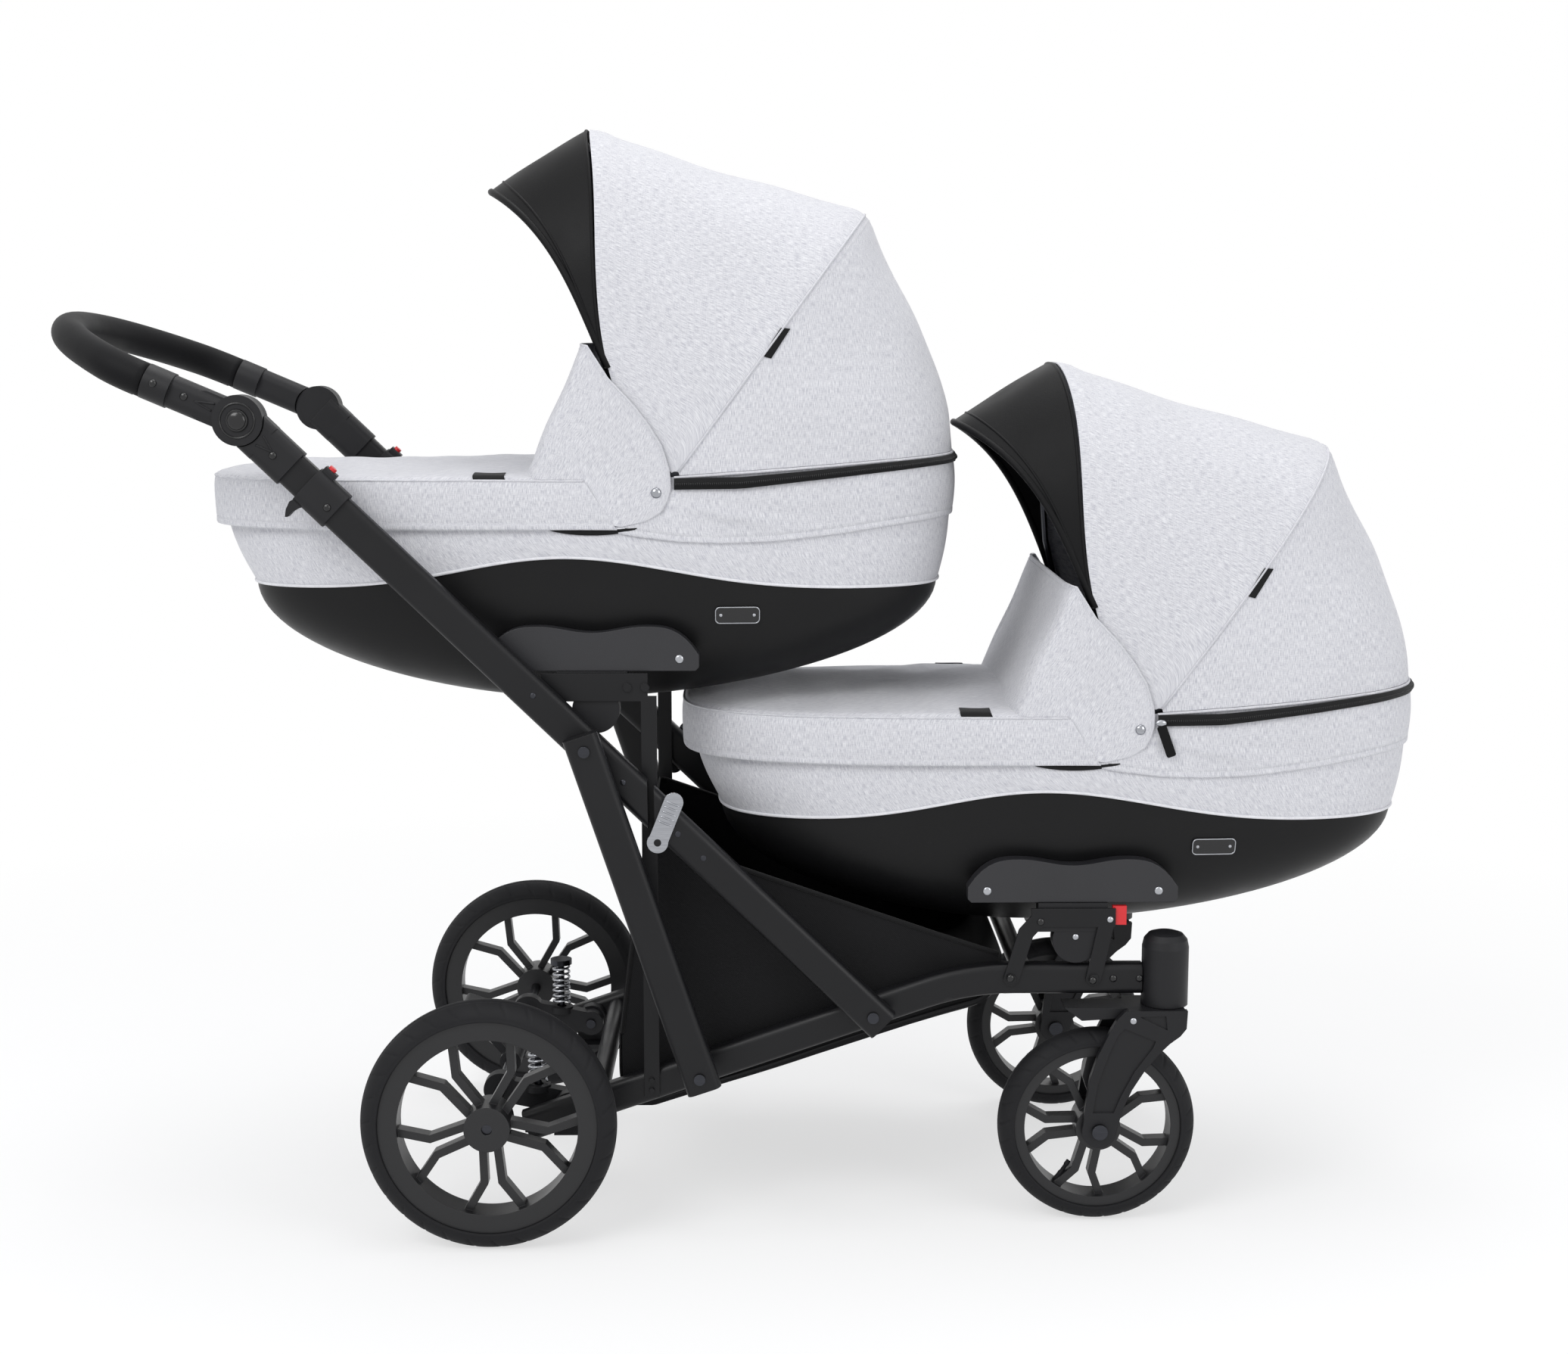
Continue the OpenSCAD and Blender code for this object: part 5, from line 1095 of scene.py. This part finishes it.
def make_ribs(name, body, node, corners):
    """Moulded rib in the form of a V on both sides: its end, its point and its other end, from the knob's middle."""
    end, point, other = np.array(corners, float)
    line = np.concatenate([np.linspace(end, point, 9)[:-1], np.linspace(point, other, 9)]) + KNOB
    # The point of the V is rounded off.
    line[7:10] = line[7:10] * 0.7 + line[[6, 7, 11]] * 0.15 + line[[5, 9, 10]] * 0.15
    for side, label in SIDES:
        path = surface_points(line, side, node)
        if len(path) > 4:
            tube(f"{name}_{label}", path, 1.2, moulded_nylon, body, "black_plastic")


def make_valves():
    """Valve of the tube in each front wheel, standing in from the rim."""
    x, half_track, z = WHEELS["front"][0]
    turn = math.radians(-123)
    inward = np.array([87, 80, 72, 71, 63, 62, 56.0])
    radius = [3.6, 3.2, 3.0, 2.4, 2.3, 2.9, 2.7]
    for side, label in SIDES:
        path = np.stack([x + inward * math.cos(turn), np.full(7, side * half_track), z + inward * math.sin(turn)], 1)
        tube(f"front_valve_{label}", path, radius, foam_tyre, f"front_wheel_{label}", "tyre_rubber", sides=14)


def make_knobs():
    """Ring and domed button on both handle joints."""
    ring_r = 19
    turn = np.linspace(0, 2 * np.pi, 60, endpoint=False)
    for side, label in SIDES:
        for at in surface_points([(KNOB[0] + ring_r, KNOB[1])], side, "joint_heads", "joint_bases"):
            path = np.stack([KNOB[0] + ring_r * np.cos(turn), np.full(60, at[1]), KNOB[1] + ring_r * np.sin(turn)], 1)
            tube(f"knob_ring_{label}", path, 1.3, gloss_abs, "handle", "black_plastic", closed=True)
        for at in surface_points([KNOB], side, f"joint_button_{label}"):
            heads(f"button_dome_{label}", [at], (0, side, 0), (1, 0, 0), (21, 21, 6), gloss_abs, f"button_{label}",
                  "black_plastic")


def make_zip_pull(cot):
    """Slider of the zip on the right, with its blank tag hanging a little askew."""
    x, z = COTS[cot]
    tilt, long = math.radians(20), 38
    hang = np.array((math.sin(tilt), 0, -math.cos(tilt)))
    pull, _ = plaque("zip_pull_tag", (x + 97 + long / 2 * hang[0], -204.8, z + 252 + long / 2 * hang[2]), hang,
                     np.cross((0, -1.0, 0), hang), (long, 11), 1.6, 2.5, leatherette)
    dress(pull, cot + "_cot", "basket_fabric")
    heads("zip_slider", [(x + 97, -204.5, z + 255)], (0, -1, 0), (1, 0, 0), (13, 8, 5), spring_steel, cot + "_cot",
          "chrome")


def make_fittings():
    """Screws, rivets, bolts, ribs and plates that show on the frame, the wheels and the carrycots."""
    domed = ("dark_steel", gloss_abs, (9, 9, 5))
    set_heads("fork_screw", "front_fork_*", "chrome", spring_steel, (8, 8, 3), [(453.5, 246.8)], "fork_*")
    set_heads("carrier_bolt", "chassis", *domed,
              [(347.7, 358.5), (313.5, 292.6), (408.6, 289.6), (433.2, 290.4), (463.5, 290.3)],
              "lower_carriers", "adapters", "lower_tubes", "swivel_housings")
    set_heads("carrier_screw", "chassis", "chrome", spring_steel, (8, 8, 4), [(427.7, 361), (388.6, 339.8)],
              "lower_carriers", "adapters")
    set_heads("grip_bolt", "handle", *domed, [(-637.2, 974), (-605.2, 959.5)], "joint_heads")
    set_heads("base_bolt", "handle_frame", *domed, [(-510, 895.1)], "joint_bases", "handle_tubes")
    set_heads("slider_bolt", "slider_pair", *domed, [(-452.1, 837.8)], "fold_sliders")
    make_ribs("head_rib", "handle", "joint_heads", [(-23.8, 18.2), (-46.7, 21.3), (-28, 10.5)])
    make_ribs("base_rib", "handle_frame", "joint_bases", [(28, -16.8), (37.4, -34.6), (19.2, -26.7)])
    make_valves()
    set_heads("tube_rivet", "handle_frame", "dark_steel", black_nickel, (7, 7, 2.4), [on_strut(394.6), (-229, 627)],
              "handle_tubes")
    # These lie flush, because the latch passes over them.
    set_heads("strut_rivet", "strut_pair", "dark_steel", black_nickel, (7, 7, 0.8), [on_strut(309), on_strut(269)],
              "struts")
    set_heads("latch_ridge", "latch_pair", "chrome", bright_chrome, (18, 2.6, 2.6),
              [(-90.8 + 0.370 * k, 459.2 + 0.929 * k) for k in (24, 30, 36, 42, 48)], "latches",
              heading=(0.929, 0, -0.370))
    make_knobs()
    for cot, (x, z) in COTS.items():
        set_heads(cot + "_plate_screw", cot + "_cot", "chrome", spring_steel, (10, 10, 3),
                  [(x - 98.8, z + 59.4), (x + 98.8, z + 59.4)], cot + "_mount_plates")
        make_name_plates(cot)
        make_hood_tags(cot)
    make_zip_pull("lower")


for cot in COTS:
    for make in (make_shell, make_side_fabric, make_apron, make_wind_flap, make_hood, make_visor, make_mattress):
        make(cot)
make_basket()
for side, label in SIDES:
    for end, ((x, half_track, radius), width, depth) in WHEELS.items():
        make_tyre(f"{end}_tyre_{label}", (x, side * half_track, radius), radius, width, depth, f"{end}_wheel_{label}")
    make_spring(side, label)
make_grip()
make_fittings()


# Camera, floor and light

def seen_directly(tree):
    """1 where the camera sees a surface, also through glass or in a mirror."""
    path = add(tree, "ShaderNodeLightPath").outputs
    either = maths(tree, "MAXIMUM", path["Is Camera Ray"], path["Is Transmission Ray"])
    return maths(tree, "MAXIMUM", either, path["Is Glossy Ray"])


def photo_camera():
    """Camera as solved from the photo."""
    view = bpy.data.cameras.new("photo_view")
    view.sensor_width, view.lens = 36.0, 52.305
    camera = link("photo_view", view)
    camera.location = (0.0284, -2.7588, 1.0230)
    camera.rotation_euler = (math.radians(90 - 8.466), 0, math.radians(-0.537))
    bpy.context.scene.camera = camera


def pale_floor():
    """Matt floor that catches the shadow and fades to white away from the pram."""
    matt_floor = bpy.data.materials.new("matt_floor")
    matt_floor.use_nodes = True
    tree = matt_floor.node_tree
    tree.nodes.clear()
    place = object_place(tree)
    tone = mixed(tree, noise(tree, place, 3.0, 2.0), linear("#f7f7f7"), linear("#f5f5f5"))
    matt = socket(tree, "ShaderNodeBsdfPrincipled", {"Base Color": tone, "Roughness": 0.9})
    white = socket(tree, "ShaderNodeEmission", {"Color": (1, 1, 1, 1), "Strength": 1.0})
    far = socket(tree, "ShaderNodeVectorMath", {0: place}, "Value", operation="LENGTH")
    part = maths(tree, "MULTIPLY", seen_directly(tree), remap(tree, far, 0.6, 1.0, 0.8, 2.2))
    lit = socket(tree, "ShaderNodeMixShader", {0: part, 1: matt, 2: white})
    add(tree, "ShaderNodeOutputMaterial", {"Surface": lit})
    mesh = bpy.data.meshes.new("floor")
    mesh.from_pydata([(-30, -30, 0), (30, -30, 0), (30, 60, 0), (-30, 60, 0)], [], [(0, 1, 2, 3)])
    mesh.materials.append(matt_floor)
    floor = link("floor", mesh)


def studio_light():
    """Soft light at a level where colours render as written, before a white background."""
    world = bpy.data.worlds.new("studio")
    bpy.context.scene.world = world
    world.use_nodes = True
    tree = world.node_tree
    tree.nodes.clear()
    soft = socket(tree, "ShaderNodeBackground", {"Color": linear("#f4f6fa"), "Strength": 0.62})
    white = socket(tree, "ShaderNodeBackground", {"Color": (1, 1, 1, 1), "Strength": 1.0})
    mix = socket(tree, "ShaderNodeMixShader", {0: seen_directly(tree), 1: soft, 2: white})
    add(tree, "ShaderNodeOutputWorld", {"Surface": mix})
    for name, place, aim, size, power in (
            ("key", (-2.2, -3.0, 3.6), (0, 0, 0.7), 2.4, 95),
            ("fill", (3.0, -2.6, 2.0), (0.2, 0, 0.6), 2.2, 40),
            ("top", (0.2, 0.4, 4.2), (0, 0, 0.6), 2.6, 60)):
        lamp = bpy.data.lights.new(name, "AREA")
        lamp.size, lamp.energy = size, power
        made = link(name, lamp)
        made.location = place
        made.rotation_euler = (Vector(aim) - Vector(place)).to_track_quat("-Z", "Y").to_euler()


photo_camera()
pale_floor()
studio_light()
bpy.context.scene.view_settings.view_transform = "Standard"
